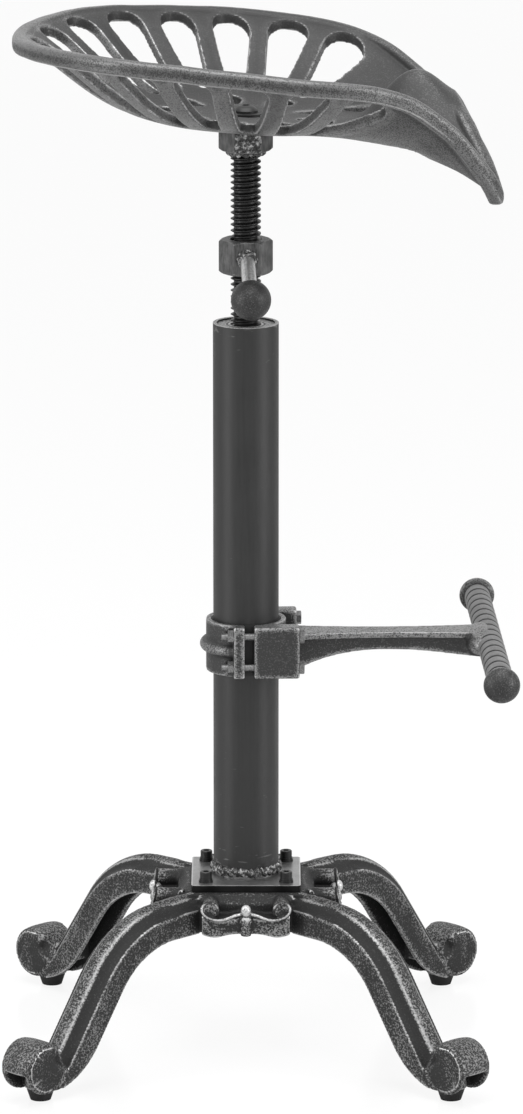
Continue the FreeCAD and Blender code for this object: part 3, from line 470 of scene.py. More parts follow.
def exact_copy(node, name):
    """A copy of an exact part, whose loose triangles are joined."""
    piece = new_object(name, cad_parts[node].data.copy())
    clean_mesh(piece, outward=False)
    return piece


def hand_in(piece, body, slot, material, *nodes):
    """Finish a piece, fix it to its body and let it stand for its exact parts."""
    paint(piece, material)
    only(piece)
    bpy.ops.object.shade_smooth()
    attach(piece, body)
    if nodes:
        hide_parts(*nodes)
    piece.data.update()
    print(piece.name, "has", len(piece.data.polygons), "faces")


print("the piece helpers are ready")

# %% [markdown]
# A sand casting has no sharp edge anywhere. A Bevel modifier would break on the many thin faces
# where its rounded forms meet, so a copy of the exact part is turned into small even cells with
# the Remesh modifier and then smoothed a little. Anything that is cast on, such as a moulding, is
# joined to the copy first, so that it melts into it. A mesh with too many triangles is thinned at
# last.

# %% Soft-edged castings
most_triangles = 190000


def casting(node, cell, rounds, cast_on=()):
    piece = exact_copy(node, "cast_" + node)
    for extra in cast_on:
        extra.select_set(True)
    if cast_on:
        bpy.ops.object.join()
    apply_modifier(piece, "REMESH", mode="VOXEL", voxel_size=cell)
    apply_modifier(piece, "SMOOTH", factor=0.5, iterations=rounds)
    return piece


def thin_out(piece):
    triangles = 2 * len(piece.data.polygons)
    if triangles > most_triangles:
        apply_modifier(piece, "DECIMATE", ratio=most_triangles / triangles)


print("most triangles in a casting:", most_triangles)

# %% [markdown]
# Each vertex of a casting compares its place with its neighbours', for the wear on edges, and with
# a much smoother version of the whole casting, for the rub on ridges. Below nought, the same rub
# marks hollows, which the finish darkens partly as patina and partly as painted shade.

# %% Wear and rub
wear_gain = 6
rub_rounds = 24
rub_cell = 1.4 * MM


def neighbour_mean(mesh, values):
    """For each vertex, the mean of some values over the vertices that an edge joins to it."""
    edges = np.empty(len(mesh.edges) * 2, np.int32)
    mesh.edges.foreach_get("vertices", edges)
    first, second = edges.reshape(-1, 2).T
    count = np.bincount(first, minlength=len(values)) + np.bincount(second, minlength=len(values))
    columns = []
    for column in values.T:
        total = np.bincount(first, column[second], len(values))
        total += np.bincount(second, column[first], len(values))
        columns.append(total / np.maximum(count, 1))
    return np.stack(columns, 1)


def mark_wear(piece, cell):
    mesh = piece.data
    places = vertex_places(mesh)
    normals = vertex_normals(mesh)
    proud = ((places - neighbour_mean(mesh, places)) * normals).sum(1, keepdims=True) / cell
    proud = (proud + neighbour_mean(mesh, proud)) / 2
    mark(mesh, "wear", proud[:, 0] * wear_gain)
    smoother = places
    for _ in range(int(rub_rounds * (rub_cell / cell))):
        smoother = neighbour_mean(mesh, smoother)
    rub_and_painted_light = ((places - smoother) * normals).sum(1, keepdims=True) / MM
    for _ in range(3):
        rub_and_painted_light = (rub_and_painted_light + neighbour_mean(mesh, rub_and_painted_light)) / 2
    mark(mesh, "rub_and_painted_light", rub_and_painted_light[:, 0])
    print(piece.name, "wear", np.percentile(proud * wear_gain, (50, 90, 98)).round(2),
          "rub_and_painted_light", np.percentile(rub_and_painted_light, (5, 50, 95)).round(2))


def ease(piece, weight, rounds):
    """Smooth the piece where the weight is one, and leave it alone where it is nought."""
    places = vertex_places(piece.data)
    for _ in range(rounds):
        places += weight[:, None] * (neighbour_mean(piece.data, places) - places) / 2
    move_vertices(piece.data, places)


print("the wear and rub helpers are ready")

# %% [markdown]
# The top of each leg is a domed ridge between two grooves. The exact part has it flat. The legs
# stand on the diagonals and are all alike, so a vertex is first turned into its own leg's
# directions. Its depth under the leg's top is measured in three stretches: the level root, the
# bend, and the straight shin down to the scroll.

# %% Places on a leg
hub_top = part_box("column_flange")[0].z
bend_reach = 99 * MM
bend_radius = 105 * MM
shin_slope = math.radians(55)
scroll_reach = 245.5 * MM
scroll_radius = 22 * MM
scroll_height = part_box("base_casting")[0].z + scroll_radius
ridge_half = 8.2 * MM
leg_half = 17.25 * MM


def leg_places(places):
    """Each vertex's place along its leg, across it, under its top and from the scroll's axis."""
    along = (np.abs(places[:, 0]) + np.abs(places[:, 1])) * math.sqrt(0.5)
    across = (np.abs(places[:, 0]) - np.abs(places[:, 1])) * math.sqrt(0.5)
    right = along - bend_reach
    up = places[:, 2] - (hub_top - bend_radius)
    turn = np.arctan2(right, up)
    level = hub_top - places[:, 2]
    bend = bend_radius - np.hypot(right, up)
    shin = bend_radius - (right * math.sin(shin_slope) + up * math.cos(shin_slope))
    depth = np.where(turn < 0, level, np.where(turn < shin_slope, bend, shin))
    from_scroll = np.hypot(along - scroll_reach, places[:, 2] - scroll_height)
    return along, across, depth, from_scroll


print("hub top:", round(hub_top / MM, 1), "mm, scroll height:", round(scroll_height / MM, 1), "mm")

# %% [markdown]
# To dome the ridge, every vertex on it is lowered by the square of its distance from the ridge's
# middle line. The roll of the scroll gets a crown in the same way. The shoulders of the ridge and
# the ends of the grooves are then smoothed, and nothing else is.

# %% Shape the legs
ridge_start = 66 * MM
ridge_drop = 2.6 * MM
crown_drop = 1.6 * MM
shoulder_rounds = 5
groove_end_rounds = 14


def shape_legs(piece):
    mesh = piece.data
    places = vertex_places(mesh)
    normals = vertex_normals(mesh)
    along, across, depth, from_scroll = leg_places(places)
    beside = np.abs(across)
    on_top = (along > ridge_start) & (from_scroll > scroll_radius + 1.2 * MM) & (depth < 12 * MM)
    ridge = on_top & (depth < 2.2 * MM) & (beside < ridge_half * 1.3)
    drop = ridge_drop * np.minimum((across / ridge_half) ** 2, 1.2) * ridge
    on_roll = (from_scroll > scroll_radius - 3 * MM) & (from_scroll < scroll_radius + MM)
    drop += crown_drop * np.minimum(beside / leg_half, 1) ** 3 * on_roll
    places -= normals * drop[:, None]
    move_vertices(mesh, places)
    shoulder = on_top & (beside > 4.5 * MM) & (beside < 12 * MM)
    ease(piece, shoulder * 1.0, shoulder_rounds)
    near_scroll = (along > 224 * MM) & (along < 240 * MM)
    groove_end = near_scroll & (beside > 9 * MM) & (depth < 14 * MM)
    ease(piece, groove_end * 1.0, groove_end_rounds)


print("ridge height:", round(ridge_drop / MM, 1), "mm")

# %% [markdown]
# The measured wear and rub don't know which faces a hand rubs, nor where light falls, so they are
# corrected by place on the legs: the ridge and its two shoulders are made bright, partly as rubbed
# wear and partly as a painted highlight; the grooves beside it are darkened, partly as patina and
# partly as painted shade; and the flat sides are darkened as painted shade, the more so near the
# floor, but for the thin edge beside the groove.

# %% Rub and shade the legs
shoulder_reach = 6.8 * MM
shoulder_width = 1.9 * MM


def rub_and_shade_legs(piece):
    mesh = piece.data
    wear = marked(mesh, "wear")
    rub_and_painted_light = marked(mesh, "rub_and_painted_light")
    places = vertex_places(mesh)
    normals = vertex_normals(mesh)
    along, across, depth, from_scroll = leg_places(places)
    beside = np.abs(across)
    sideways = np.abs(np.abs(normals[:, 0]) - np.abs(normals[:, 1])) * math.sqrt(0.5)
    on_leg = (along > 70 * MM) & (from_scroll > scroll_radius + MM)
    ridge = on_leg & (beside < 8.8 * MM) & (depth < 4 * MM) & (depth > -MM)
    groove = on_leg & (beside > 8.6 * MM) & (beside < 16.2 * MM)
    groove &= (depth > 1.5 * MM) & (depth < 11 * MM)
    flat_side = (beside > 16.4 * MM) & (sideways > 0.85)
    # Painted highlight in part: a bright band along each shoulder of the ridge, partly rubbed wear.
    shoulder = np.exp(-((beside - shoulder_reach) / shoulder_width) ** 2)
    rub_and_painted_light[ridge] = 0.9 + shoulder[ridge] * 0.6
    wear[ridge] = shoulder[ridge] * 0.72
    # Grooves darkened, partly as patina and partly as painted shade.
    rub_and_painted_light[groove] = np.minimum(rub_and_painted_light[groove], -0.85)
    wear[groove] = np.minimum(wear[groove], 0.2)
    # Painted shade: the flat sides are darker, and darker still towards the floor.
    lower = np.clip((hub_top - 45 * MM - places[:, 2]) / (35 * MM), 0, 1)
    rub_and_painted_light[flat_side] = np.clip(rub_and_painted_light[flat_side], -0.3, 0.1) - 0.45 * lower[flat_side]
    roll = (from_scroll > scroll_radius - 4 * MM) & ~flat_side & (from_scroll < scroll_radius + MM)
    rub_and_painted_light[roll] = np.maximum(rub_and_painted_light[roll], 0.95)
    mark(mesh, "wear", wear)
    mark(mesh, "rub_and_painted_light", rub_and_painted_light)


print("rub on the legs goes by place")

# %% [markdown]
# The skirt is the short apron between two legs. Its lower edge hangs a little lower under each
# half of its swag. A smooth wave added to the height of its lowest vertices does that.

# %% Sag the skirt
skirt_sag = 3.2 * MM
sag_reach = 26 * MM
sag_width = 10 * MM
skirt_face = 77.5 * MM
skirt_foot = hub_top - 28.8 * MM


def sag_skirt(piece):
    places = vertex_places(piece.data)
    size = np.abs(places[:, :2])
    outward = size.max(1)
    beside = size.min(1)
    low = np.clip((skirt_foot + 9 * MM - places[:, 2]) / (9 * MM), 0, 1)
    on_skirt = (outward > 58 * MM) * (outward < skirt_face + 2 * MM) * (beside < 38.5 * MM)
    wave = np.exp(-((beside - sag_reach) / sag_width) ** 2) - 0.5
    places[:, 2] -= low * on_skirt * skirt_sag * wave
    move_vertices(piece.data, places)


print("skirt sag:", round(skirt_sag / MM, 1), "mm")

# %% [markdown]
# Inside each scroll, a short round plug keeps the end of the grooves from breaking through into
# the hollow. It is a cylinder laid across the leg, one for each leg.

# %% Base casting
base_cell = 1.3 * MM
plug_reach = 235.5 * MM
plug_height = scroll_height + 1.5 * MM
plug_radius = 10.5 * MM
plug_length = 25 * MM


def scroll_plugs():
    plugs = []
    for quarter in range(4):
        turn = math.radians(45 + 90 * quarter)
        middle = Vector((plug_reach * math.cos(turn), plug_reach * math.sin(turn), plug_height))
        bpy.ops.mesh.primitive_cylinder_add(vertices=40, radius=plug_radius, depth=plug_length,
                                            location=middle, rotation=(math.radians(90), 0, turn))
        bpy.ops.object.transform_apply(location=True, rotation=True)
        plugs.append(bpy.context.object)
    return plugs


base = casting("base_casting", base_cell, 1, scroll_plugs())
shape_legs(base)
sag_skirt(base)
apply_modifier(base, "SMOOTH", factor=0.5, iterations=1)
mark_wear(base, base_cell)
rub_and_shade_legs(base)
thin_out(base)
hand_in(base, "base", "cast_iron", iron, "base_casting")

# %% [markdown]
# Along the upper edge of the skirt on each side, a thin moulding curls round the two volutes and
# swings down to a flower in the middle. It is too fine for the cells of the whole base, so it is a
# piece of its own: two curves with a round section and a few flattened balls, joined, turned into
# fine cells, and sunk into the skirt. It is made once and copied to the other three sides. What
# stands out furthest is the brightest, but for the lower half of the flower. Each point of the
# curve is given as its distance from the middle, its drop under the hub's top and its reach from
# the column, and each ball as its drop, its three half sizes and its reach, all in millimetres.

# %% Ornament on the skirt
moulding_radius = 1.25 * MM
ornament_cell = 0.45 * MM
swag_points = ((-23.6, 11.4, 75.6), (-22.6, 7.0, 75.6), (-24.6, 2.4, 75.4), (-29.0, 0.2, 75.0),
               (-34.0, 1.2, 75.2), (-36.9, 4.8, 75.9), (-36.4, 9.2, 76.6), (-33.0, 12.6, 77.2),
               (-27.0, 14.9, 77.6), (-20.4, 15.1, 77.7), (-14.0, 13.2, 77.8), (-8.8, 10.7, 77.8),
               (-4.4, 10.0, 77.8))
flower_balls = ((7.0, (4.2, 3.6, 5.2), 77.6), (16.2, (5.4, 3.0, 5.0), 77.4),
                (21.8, (4.9, 2.8, 1.9), 77.5), (24.8, (5.2, 2.8, 1.9), 77.5),
                (27.4, (4.5, 2.6, 1.6), 77.5))


def swag_moulding(side):
    curve = bpy.data.curves.new("swag", "CURVE")
    curve.dimensions = "3D"
    curve.bevel_depth = moulding_radius
    curve.bevel_resolution = 3
    curve.resolution_u = 8
    curve.use_fill_caps = True
    spline = curve.splines.new("NURBS")
    spline.points.add(len(swag_points) - 1)
    for point, (across, drop, reach) in zip(spline.points, swag_points):
        point.co = (side * across * MM, -reach * MM, hub_top - drop * MM, 1)
    spline.order_u = 3
    spline.use_endpoint_u = True
    piece = new_object("swag", curve)
    only(piece)
    bpy.ops.object.convert(target="MESH")
    return piece


def flower_ball(drop, size, reach):
    bpy.ops.mesh.primitive_uv_sphere_add(segments=32, ring_count=20, radius=1)
    piece = bpy.context.object
    piece.scale = [length * MM for length in size]
    piece.location = (0, -reach * MM, hub_top - drop * MM)
    bpy.ops.object.transform_apply(location=True, scale=True)
    return piece


parts = [swag_moulding(1), swag_moulding(-1)] + [flower_ball(*ball) for ball in flower_balls]
only(parts[0])
for part in parts[1:]:
    part.select_set(True)
bpy.ops.object.join()
ornament = bpy.context.object
clean_mesh(ornament)
apply_modifier(ornament, "REMESH", mode="VOXEL", voxel_size=ornament_cell)
apply_modifier(ornament, "SMOOTH", factor=0.5, iterations=2)
spots = vertex_places(ornament.data)
drops = hub_top - spots[:, 2]
proud = -spots[:, 1] - np.interp(drops, (4 * MM, 14 * MM), (75.4 * MM, skirt_face))
low_flower = (np.abs(spots[:, 0]) < 6 * MM) * np.clip((drops - 9 * MM) / (9 * MM), 0, 1)
mark(ornament.data, "wear", proud / (1.6 * MM) * (1 - low_flower * 0.85))
mark(ornament.data, "rub_and_painted_light", proud / MM * (1 - low_flower * 0.4))
for quarter in range(4):
    side_piece = new_object("skirt_ornament_%d" % (quarter + 1), ornament.data.copy())
    side_piece.data.transform(Matrix.Rotation(math.radians(90 * quarter), 4, "Z"))
    hand_in(side_piece, "base", "cast_iron", iron)
bpy.data.objects.remove(ornament)

# %% [markdown]
# The seat's edge is a thick lip that stands a little proud of the pierced wall and hangs just
# below it. Its line dips and rises with the seat, so it isn't drawn by hand but read from the exact
# seat, where the outer wall meets the two faces.

# %% Line of the seat's rim
rim_steps = 180


def rim_edges(mesh):
    """The upper and the lower edge of the outer wall, each as angle, reach and height."""
    places = vertex_places(mesh)
    centres = np.array([face.center for face in mesh.polygons])
    normals = np.array([face.normal for face in mesh.polygons])
    reach = np.hypot(centres[:, 0], centres[:, 1])
    outward = (centres[:, 0] * normals[:, 0] + centres[:, 1] * normals[:, 1]) / reach
    is_wall = (np.abs(normals[:, 2]) < 0.1) & (outward > 0.3) & (reach > 150 * MM)
    faces_at = {}
    for face in mesh.polygons:
        for key in face.edge_keys:
            faces_at.setdefault(key, []).append(face.index)
    upper, lower = [], []
    for key, faces in faces_at.items():
        if len(faces) == 2 and is_wall[faces[0]] != is_wall[faces[1]]:
            other = faces[1] if is_wall[faces[0]] else faces[0]
            edge = upper if normals[other][2] > 0 else lower
            edge += key
    lines = []
    for found in (upper, lower):
        line = places[sorted(set(found))]
        angle = np.arctan2(line[:, 1], line[:, 0])
        order = np.argsort(angle)
        lines.append((angle[order], np.hypot(line[:, 0], line[:, 1])[order], line[order, 2]))
    return lines


def rim_line(mesh):
    """Points along the middle of the rim, at even angles."""
    angles = np.linspace(-math.pi, math.pi, rim_steps, endpoint=False)
    reach, height = 0, 0
    for angle, r, z in rim_edges(mesh):
        reach = reach + np.interp(angles, angle, r, period=2 * math.pi) / 2
        height = height + np.interp(angles, angle, z, period=2 * math.pi) / 2
    return np.stack([reach * np.cos(angles), reach * np.sin(angles), height], 1)


seat_copy = exact_copy("seat_casting", "seat_copy")
rim = rim_line(seat_copy.data)
bpy.data.objects.remove(seat_copy)
print("rim height from", (rim[:, 2].min() / MM).round(), "to", (rim[:, 2].max() / MM).round(), "mm")

# %% [markdown]
# The lip's section is blunt, between an oval and a rectangle. It is swept along the rim's line as a
# curve's bevel object, and later cast onto the seat. The line is first moved a little inward and
# down, so that the lip hides the thin edge of the wall.

# %% Lip of the seat
lip_inset = 4.6 * MM
lip_drop = 1.8 * MM
lip_half_width = 6.4 * MM
lip_half_height = 6.8 * MM
lip_squareness = 3.4
section_points = 40


def lip_section():
    """A closed outline between an oval and a rectangle."""
    curve = bpy.data.curves.new("lip_section", "CURVE")
    curve.dimensions = "2D"
    spline = curve.splines.new("POLY")
    spline.points.add(section_points - 1)
    spline.use_cyclic_u = True
    for step, point in enumerate(spline.points):
        turn = 2 * math.pi * step / section_points
        across, up = (math.copysign(abs(part) ** (2 / lip_squareness), part)
                      for part in (math.cos(turn), math.sin(turn)))
        point.co = (across * lip_half_width, up * lip_half_height, 0, 1)
    return new_object("lip_section", curve)


def seat_lip():
    ahead = np.roll(rim, -1, 0) - np.roll(rim, 1, 0)
    outward = np.stack([ahead[:, 1], -ahead[:, 0]], 1)
    outward /= np.linalg.norm(outward, axis=1, keepdims=True)
    line = rim.copy()
    line[:, :2] -= outward * lip_inset
    line[:, 2] -= lip_drop
    section = lip_section()
    curve = bpy.data.curves.new("seat_lip", "CURVE")
    curve.dimensions = "3D"
    curve.twist_mode = "Z_UP"
    curve.bevel_mode = "OBJECT"
    curve.bevel_object = section
    spline = curve.splines.new("POLY")
    spline.points.add(len(line) - 1)
    for point, place in zip(spline.points, line):
        point.co = (*place, 1)
    spline.use_cyclic_u = True
    piece = new_object("seat_lip", curve)
    only(piece)
    bpy.ops.object.convert(target="MESH")
    bpy.data.objects.remove(section)
    clean_mesh(piece)
    return piece


print("lip:", round(2 * lip_half_width / MM, 1), "mm wide")

# %% [markdown]
# The seat's faces that look down are painted lighter, as painted light from below, and the top of
# its lip at the back is painted lighter, as painted light from above. Where its wall looks inward
# it is darkened as painted shade, less so at the back. The lower edge of the lip is chipped bright.

# %% Seat casting
seat_cell = 1.35 * MM


def from_rim(places):
    """How far each place lies outside and above the rim at the same angle."""
    angle = np.arctan2(places[:, 1], places[:, 0])
    rim_angle = np.arctan2(rim[:, 1], rim[:, 0])
    rim_reach = np.hypot(rim[:, 0], rim[:, 1])
    reach = np.hypot(places[:, 0], places[:, 1])
    outward = reach - np.interp(angle, rim_angle, rim_reach, period=2 * math.pi)
    upward = places[:, 2] - np.interp(angle, rim_angle, rim[:, 2], period=2 * math.pi)
    return outward, upward, reach


def rub_and_light_seat(piece):
    mesh = piece.data
    wear = marked(mesh, "wear")
    rub_and_painted_light = marked(mesh, "rub_and_painted_light")
    places = vertex_places(mesh)
    normals = vertex_normals(mesh)
    outward, upward, reach = from_rim(places)
    inward_part = -(places[:, 0] * normals[:, 0] + places[:, 1] * normals[:, 1])
    looks_in = inward_part / np.maximum(reach, MM)
    on_lip = np.hypot(outward + lip_inset, upward + lip_drop) < 11 * MM
    at_back = np.clip((-places[:, 0] - 110 * MM) / (60 * MM), 0, 1)
    # Painted light: faces that look down are made lighter.
    rub_and_painted_light += np.clip(-normals[:, 2] * 1.5, 0, 1) * 0.85
    # Painted shade: faces that look inward are darker, less so at the back.
    rub_and_painted_light -= np.clip(looks_in * 1.6, 0, 1) * 0.75 * (1 - at_back)
    # Painted light: the top of the lip at the back is made lighter.
    rub_and_painted_light += on_lip * at_back * np.clip(normals[:, 2], 0, 1) * 0.8
    lower_edge = np.hypot(outward - 0.6 * MM, upward + 7.8 * MM) / (1.5 * MM)
    mark(mesh, "wear", np.maximum(wear, 0.9 * np.exp(-lower_edge ** 2)))
    mark(mesh, "rub_and_painted_light", rub_and_painted_light)


seat = casting("seat_casting", seat_cell, 1, [seat_lip()])
mark_wear(seat, seat_cell)
rub_and_light_seat(seat)
thin_out(seat)
hand_in(seat, "seat", "cast_iron", seat_iron, "seat_casting")

# %% [markdown]
# The other castings are treated in the same way, with a finer cell on the small ones. The arm
# runs into the foot bar in a smooth saddle, a flattened ball that is cast onto its end. The faces
# of the arm that look up are painted pale and a little glossier, as painted light from above.

# %% Footrest and nuts
bar_low, bar_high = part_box("footrest_bar")
bar_middle = (bar_low + bar_high) / 2
saddle_size = (12.5 * MM, 33 * MM, 11.7 * MM)
saddle_shift = Vector((-7.5 * MM, 0, 0.5 * MM))


def arm_saddle():
    bpy.ops.mesh.primitive_uv_sphere_add(segments=48, ring_count=32, radius=1)
    piece = bpy.context.object
    piece.scale = saddle_size
    piece.location = bar_middle + saddle_shift
    bpy.ops.object.transform_apply(location=True, scale=True)
    return piece


def light_upward_faces(piece):
    # Painted light: faces that look up are made pale.
    upward = np.clip((vertex_normals(piece.data)[:, 2] - 0.6) / 0.3, 0, 1)
    mark(piece.data, "rub_and_painted_light", np.maximum(marked(piece.data, "rub_and_painted_light"), upward * 1.6))


for node, body, cell, rounds, material in (
        ("footrest_arm", "footrest", 1.1 * MM, 2, fine_iron),
        ("clamp_rear", "footrest", 0.9 * MM, 2, fine_iron),
        ("bar_cap_near", "footrest", 0.8 * MM, 2, dark_iron),
        ("bar_cap_far", "footrest", 0.8 * MM, 2, dark_iron),
        ("seat_hub_nut", "seat", 0.6 * MM, 3, nut_steel),
        ("lock_nut", "lock", 0.6 * MM, 3, nut_steel),
        ("lock_ball", "lock", 0.7 * MM, 1, dark_iron)):
    piece = casting(node, cell, rounds, [arm_saddle()] if node == "footrest_arm" else ())
    mark_wear(piece, cell)
    if node == "footrest_arm":
        light_upward_faces(piece)
    hand_in(piece, body, "cast_iron", material, node)

# %% [markdown]
# The foot bar is turned: seventeen ribs, almost straight, with a narrow dark groove between each
# two. Seventeen rings could be stacked, but one outline keeps the bar in one piece: the Screw
# modifier with no climb works as a lathe, and turns that outline about its axis. The grooves are
# marked, so that the finish can keep them dark. The whole footrest stands turned by two degrees
# about Z, and the bar is turned by as much about its middle.

# %% Foot bar
footrest_turn = math.radians(2)
rib_count = 17
rib_steps = 14
bar_length = 313 * MM
bar_radius = 11 * MM
groove_depth = 1.5 * MM
groove_half = 1.2 * MM
rib_crown = 0.45 * MM
lathe_merge = 0.01 * MM


def bar_outline():
    pitch = bar_length / rib_count
    outline = [(0, 0)]
    for step in range(rib_count * rib_steps + 1):
        height = step * pitch / rib_steps
        from_groove = min(height % pitch, pitch - height % pitch)
        groove = math.exp(-(from_groove / groove_half) ** 2)
        barrel = 1 - (2 * from_groove / pitch)
        radius = bar_radius - groove * groove_depth - rib_crown * barrel ** 2
        outline.append((radius, height))
    return outline + [(0, bar_length)]


def lathe(name, outline, steps):
    mesh = bpy.data.meshes.new(name)
    mesh.from_pydata([(radius, 0, height) for radius, height in outline],
                     [(i, i + 1) for i in range(len(outline) - 1)], [])
    piece = new_object(name, mesh)
    apply_modifier(piece, "SCREW", axis="Z", angle=2 * math.pi, steps=steps, render_steps=steps,
                   use_merge_vertices=True, merge_threshold=lathe_merge)
    clean_mesh(piece, lathe_merge)
    return piece


def bar_finish():
    material, shader, start, place = new_finish("foot_bar_iron", Metallic=0.35)
    groove = marked_on(start, "groove")
    grain = noise(place, 900, 3.0, 0.6)
    clouds = noise(place, 90, 3.0)
    level = grain.between(0.3, 0.7) * 0.10 + clouds.between(0.3, 0.7) * 0.05 + 0.10
    level = level * (1 - groove.between(0.12, 0.45)) + 0.006
    wire(shader, "Base Color", grey(level))
    wire(shader, "Roughness", 0.5 + grain * 0.12)
    wire(shader, "Normal", bumped(grain, 0.5, 0.2 * MM))
    return material


bar = lathe("ribbed_foot_bar", bar_outline(), 48)
bar_places = vertex_places(bar.data)
sunk = bar_radius - np.hypot(bar_places[:, 0], bar_places[:, 1])
mark(bar.data, "groove", sunk / groove_depth)
lay_flat = Matrix.Rotation(math.radians(-90), 4, "X") @ Matrix.Translation((0, 0, -bar_length / 2))
turn_bar = Matrix.Translation(bar_middle) @ Matrix.Rotation(footrest_turn, 4, "Z")
bar.data.transform(turn_bar @ lay_flat)
hand_in(bar, "footrest", "cast_iron", bar_finish(), "footrest_bar")

# %% [markdown]
# The exact rod has rings, because a ring is quick to compute. The real rod has a screw thread. A
# bump in the material would leave its outline straight, so the Screw modifier winds one turn of
# the thread's outline up the whole rod. The two ragged ends are then cut off square and closed.

# %% Screw thread
thread_radius = 12.5 * MM
thread_root = 9.9 * MM
pitch = 5 * MM


def thread_outline():
    heights = (0.0, 0.15, 0.42, 0.58, 0.85, 1.0)
    radii = (thread_root, thread_root, thread_radius, thread_radius, thread_root, thread_root)
    return [(radius, 0, height * pitch) for radius, height in zip(radii, heights)]


def screw_thread(low, high):
    turns = math.ceil((high - low) / pitch) + 2
    points = [Vector(point) + Vector((0, 0, low - pitch)) for point in thread_outline()]
    mesh = bpy.data.meshes.new("screw_rod")
    mesh.from_pydata(points, [(i, i + 1) for i in range(len(points) - 1)], [])
    piece = new_object("screw_rod", mesh)
    apply_modifier(piece, "SCREW", axis="Z", angle=2 * math.pi, screw_offset=pitch,
                   iterations=turns, steps=36, render_steps=36, use_merge_vertices=False)
    bpy.ops.object.mode_set(mode="EDIT")
    bpy.ops.mesh.select_all(action="SELECT")
    bpy.ops.mesh.remove_doubles(threshold=lathe_merge)
    for height, is_foot in ((low, True), (high, False)):
        bpy.ops.mesh.select_all(action="SELECT")
        bpy.ops.mesh.bisect(plane_co=(0, 0, height), plane_no=(0, 0, 1), use_fill=True,
                            clear_inner=is_foot, clear_outer=not is_foot)
    bpy.ops.mesh.select_all(action="SELECT")
    bpy.ops.mesh.normals_make_consistent(inside=False)
    bpy.ops.object.mode_set(mode="OBJECT")
    return piece


rod_low, rod_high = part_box("threaded_rod")
rod = screw_thread(rod_low.z, rod_high.z)
hand_in(rod, "seat", "black_steel", thread_steel, "threaded_rod")
only(rod)
bpy.ops.object.shade_smooth_by_angle(angle=math.radians(35))

# %% [markdown]
# A weld bead is a row of overlapping puddles, flattened against the metal. Each bead starts as a
# torus. Its vertices are read as an angle round the column and an angle round the section, and
# are placed again with slanting ripples, lumps and a ragged edge. All of these are sums of a few
# waves with seeded phases, so the bead is the same each time.

# %% Weld beads
wave_count = 16


def ring_bead(name, radius, thick, tall, height, puddles, ripple, seed):
    """A weld bead round the Z axis, as thick and as tall from its middle as it is told."""
    bpy.ops.mesh.primitive_torus_add(major_segments=320, minor_segments=24, major_radius=radius,
                                     minor_radius=thick)
    piece = bpy.context.object
    piece.name = name
    places = vertex_places(piece.data)
    turn = np.arctan2(places[:, 1], places[:, 0])
    section = np.arctan2(places[:, 2], np.hypot(places[:, 0], places[:, 1]) - radius)
    random = np.random.default_rng(seed)
    wander = sum(np.sin(turn * k + random.uniform(0, 6.28)) for k in range(2, 8)) / 6
    lumps = 0
    for _ in range(wave_count):
        waves, bends = random.integers(14, 60), random.integers(1, 4)
        phase = random.uniform(0, 6.28)
        lumps = lumps + np.sin(turn * waves + section * bends + phase) / wave_count
    slant = turn * puddles / 2 + np.sin(section) * 1.3 + wander * 2.5
    swell = ripple * (np.abs(np.sin(slant)) - 0.5 + lumps * 2.2)
    ragged = np.sin(turn * 23 + wander * 4) * np.sin(turn * 9 + 1)
    reach = radius + np.cos(section) * (thick + swell)
    upward = height + np.sin(section) * (tall + swell) + (ragged * 0.5 + wander * 0.6) * ripple
    move_vertices(piece.data, np.stack([reach * np.cos(turn), reach * np.sin(turn), upward], 1))
    return piece


foot_bead = ring_bead("column_foot_weld", radius=26.7 * MM, thick=2.5 * MM, tall=3.6 * MM,
                      height=tube_low.z - 2.3 * MM, puddles=34, ripple=1.0 * MM, seed=3)
hand_in(foot_bead, "base", "weld_steel", weld_metal, "flange_weld")
hub_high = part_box("hub_weld")[1]
hub_bead = ring_bead("hub_nut_weld", radius=13.2 * MM, thick=2.8 * MM, tall=2.8 * MM,
                     height=hub_high.z - 0.8 * MM, puddles=17, ripple=0.9 * MM, seed=5)
hand_in(hub_bead, "seat", "weld_steel", weld_metal, "hub_weld")

# %% [markdown]
# The front face of the hub nut is covered with rough weld metal, and the bead round the handle's
# root is lumpy. Both are pushed in and out by a cloud texture with the Displace modifier: the
# first is a thin block in fine cells, the second is the exact bead, softened as a casting is.

# %% Lumpy welds
lumps = bpy.data.textures.new("weld_lumps", "CLOUDS")
lumps.noise_scale = 3.2 * MM
nut_low, nut_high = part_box("seat_hub_nut")
bpy.ops.mesh.primitive_cube_add(size=1)
patch = bpy.context.object
patch.name = "hub_face_weld"
patch.scale = (21.6 * MM, 2.2 * MM, nut_high.z - nut_low.z - 1.5 * MM)
patch.location = (1.0 * MM, -19.4 * MM, (nut_low.z + nut_high.z) / 2)
bpy.ops.object.transform_apply(location=True, scale=True)
apply_modifier(patch, "REMESH", mode="VOXEL", voxel_size=0.5 * MM)
apply_modifier(patch, "SMOOTH", factor=0.5, iterations=4)
apply_modifier(patch, "DISPLACE", texture=lumps, strength=2.4 * MM, mid_level=0.5,
               texture_coords="LOCAL")
patch.data.transform(Matrix.Rotation(math.radians(3), 4, "Z"))
hand_in(patch, "seat", "weld_steel", weld_metal)
handle_bead = casting("handle_weld", 0.45 * MM, 3)
apply_modifier(handle_bead, "DISPLACE", texture=lumps, strength=1.6 * MM, mid_level=0.45,
               texture_coords="LOCAL")
hand_in(handle_bead, "lock", "weld_steel", weld_metal, "handle_weld")

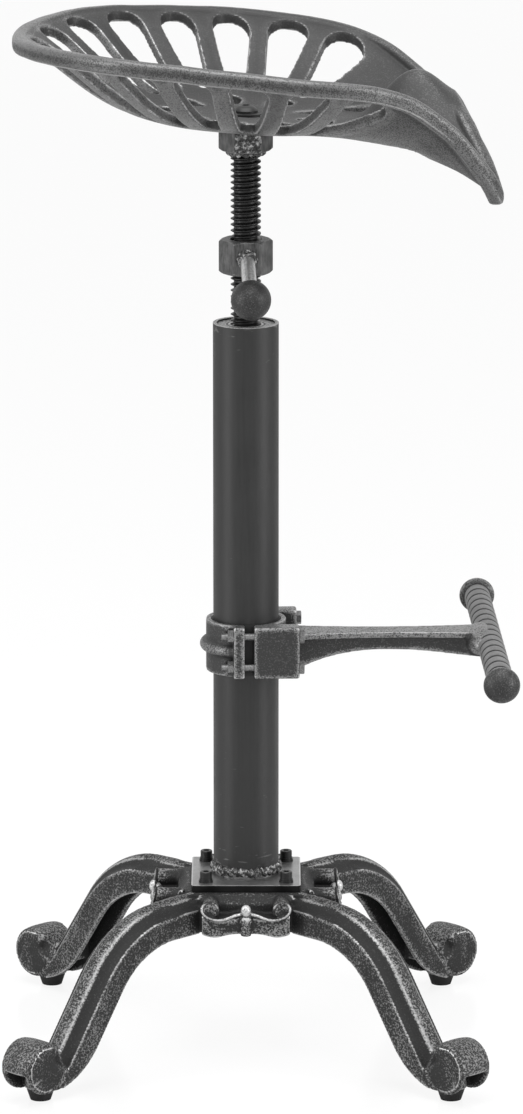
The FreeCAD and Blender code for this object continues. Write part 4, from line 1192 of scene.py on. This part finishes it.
# %% [markdown]
# The floor is a wide white plane. Seen by the camera it is mostly plain white, through Light
# Path, and the small rest of its shader keeps a soft shadow and a faint mirror image.

# %% Floor
bpy.ops.mesh.primitive_plane_add(size=30)
floor = bpy.context.object
floor.name = "floor"
floor_grey = (0.86, 0.86, 0.86, 1)
material, shader, start, place = new_finish("studio_floor", Base_Color=floor_grey, Roughness=0.16)
seen = start.add("LightPath", output=0)
glow = start.add("Emission", None, {"Color": (1, 1, 1, 1), "Strength": 1.06})
surface = Signal(start.tree, shader.outputs[0])
mixed = start.add("MixShader", None, {0: seen * 0.8, 1: surface, 2: glow})
wire(start.tree.nodes["Material Output"], "Surface", mixed)
paint(floor, material)
print("floor size:", floor.dimensions.x)

# %% [markdown]
# The world is white to the camera and in reflections, and dimmer as a lamp, so the background is
# white without more light on the stool. Two tall soft boxes light the sides of the column, a wide
# one hangs overhead and a weak one fills the front.

# %% World and lamps
world_light = 0.32
world = bpy.data.worlds.new("studio")
bpy.context.scene.world = world
world.use_nodes = True
background = world.node_tree.nodes["Background"]
sky = Signal(world.node_tree)
direct = sky.add("LightPath", output=0)
mirrored = sky.add("LightPath", output=3)
white = (direct + mirrored).maths("MINIMUM", direct + mirrored, 1.0)
wire(background, "Strength", world_light + white * (1 - world_light))
background.inputs["Color"].default_value = (1, 1, 1, 1)


def soft_box(name, place, target, width, height, power):
    lamp = bpy.data.lights.new(name, "AREA")
    lamp.shape = "RECTANGLE"
    lamp.size = width
    lamp.size_y = height
    lamp.energy = power
    holder = new_object(name, lamp)
    holder.location = place
    holder.rotation_euler = (Vector(target) - Vector(place)).to_track_quat("-Z", "Y").to_euler()


soft_box("left_box", (-2.2, -1.0, 1.0), (0, 0, 0.45), 1.0, 1.8, 24)
soft_box("right_box", (2.2, -1.0, 1.0), (0, 0, 0.45), 1.0, 1.8, 24)
soft_box("top_box", (0, -0.4, 2.6), (0, 0, 0.4), 2.2, 2.2, 50)
soft_box("front_box", (0, -3.2, 1.6), (0, 0, 0.5), 1.6, 1.0, 6)
bpy.context.scene.view_settings.view_transform = "Standard"

# %% [markdown]


print("the scene is built")
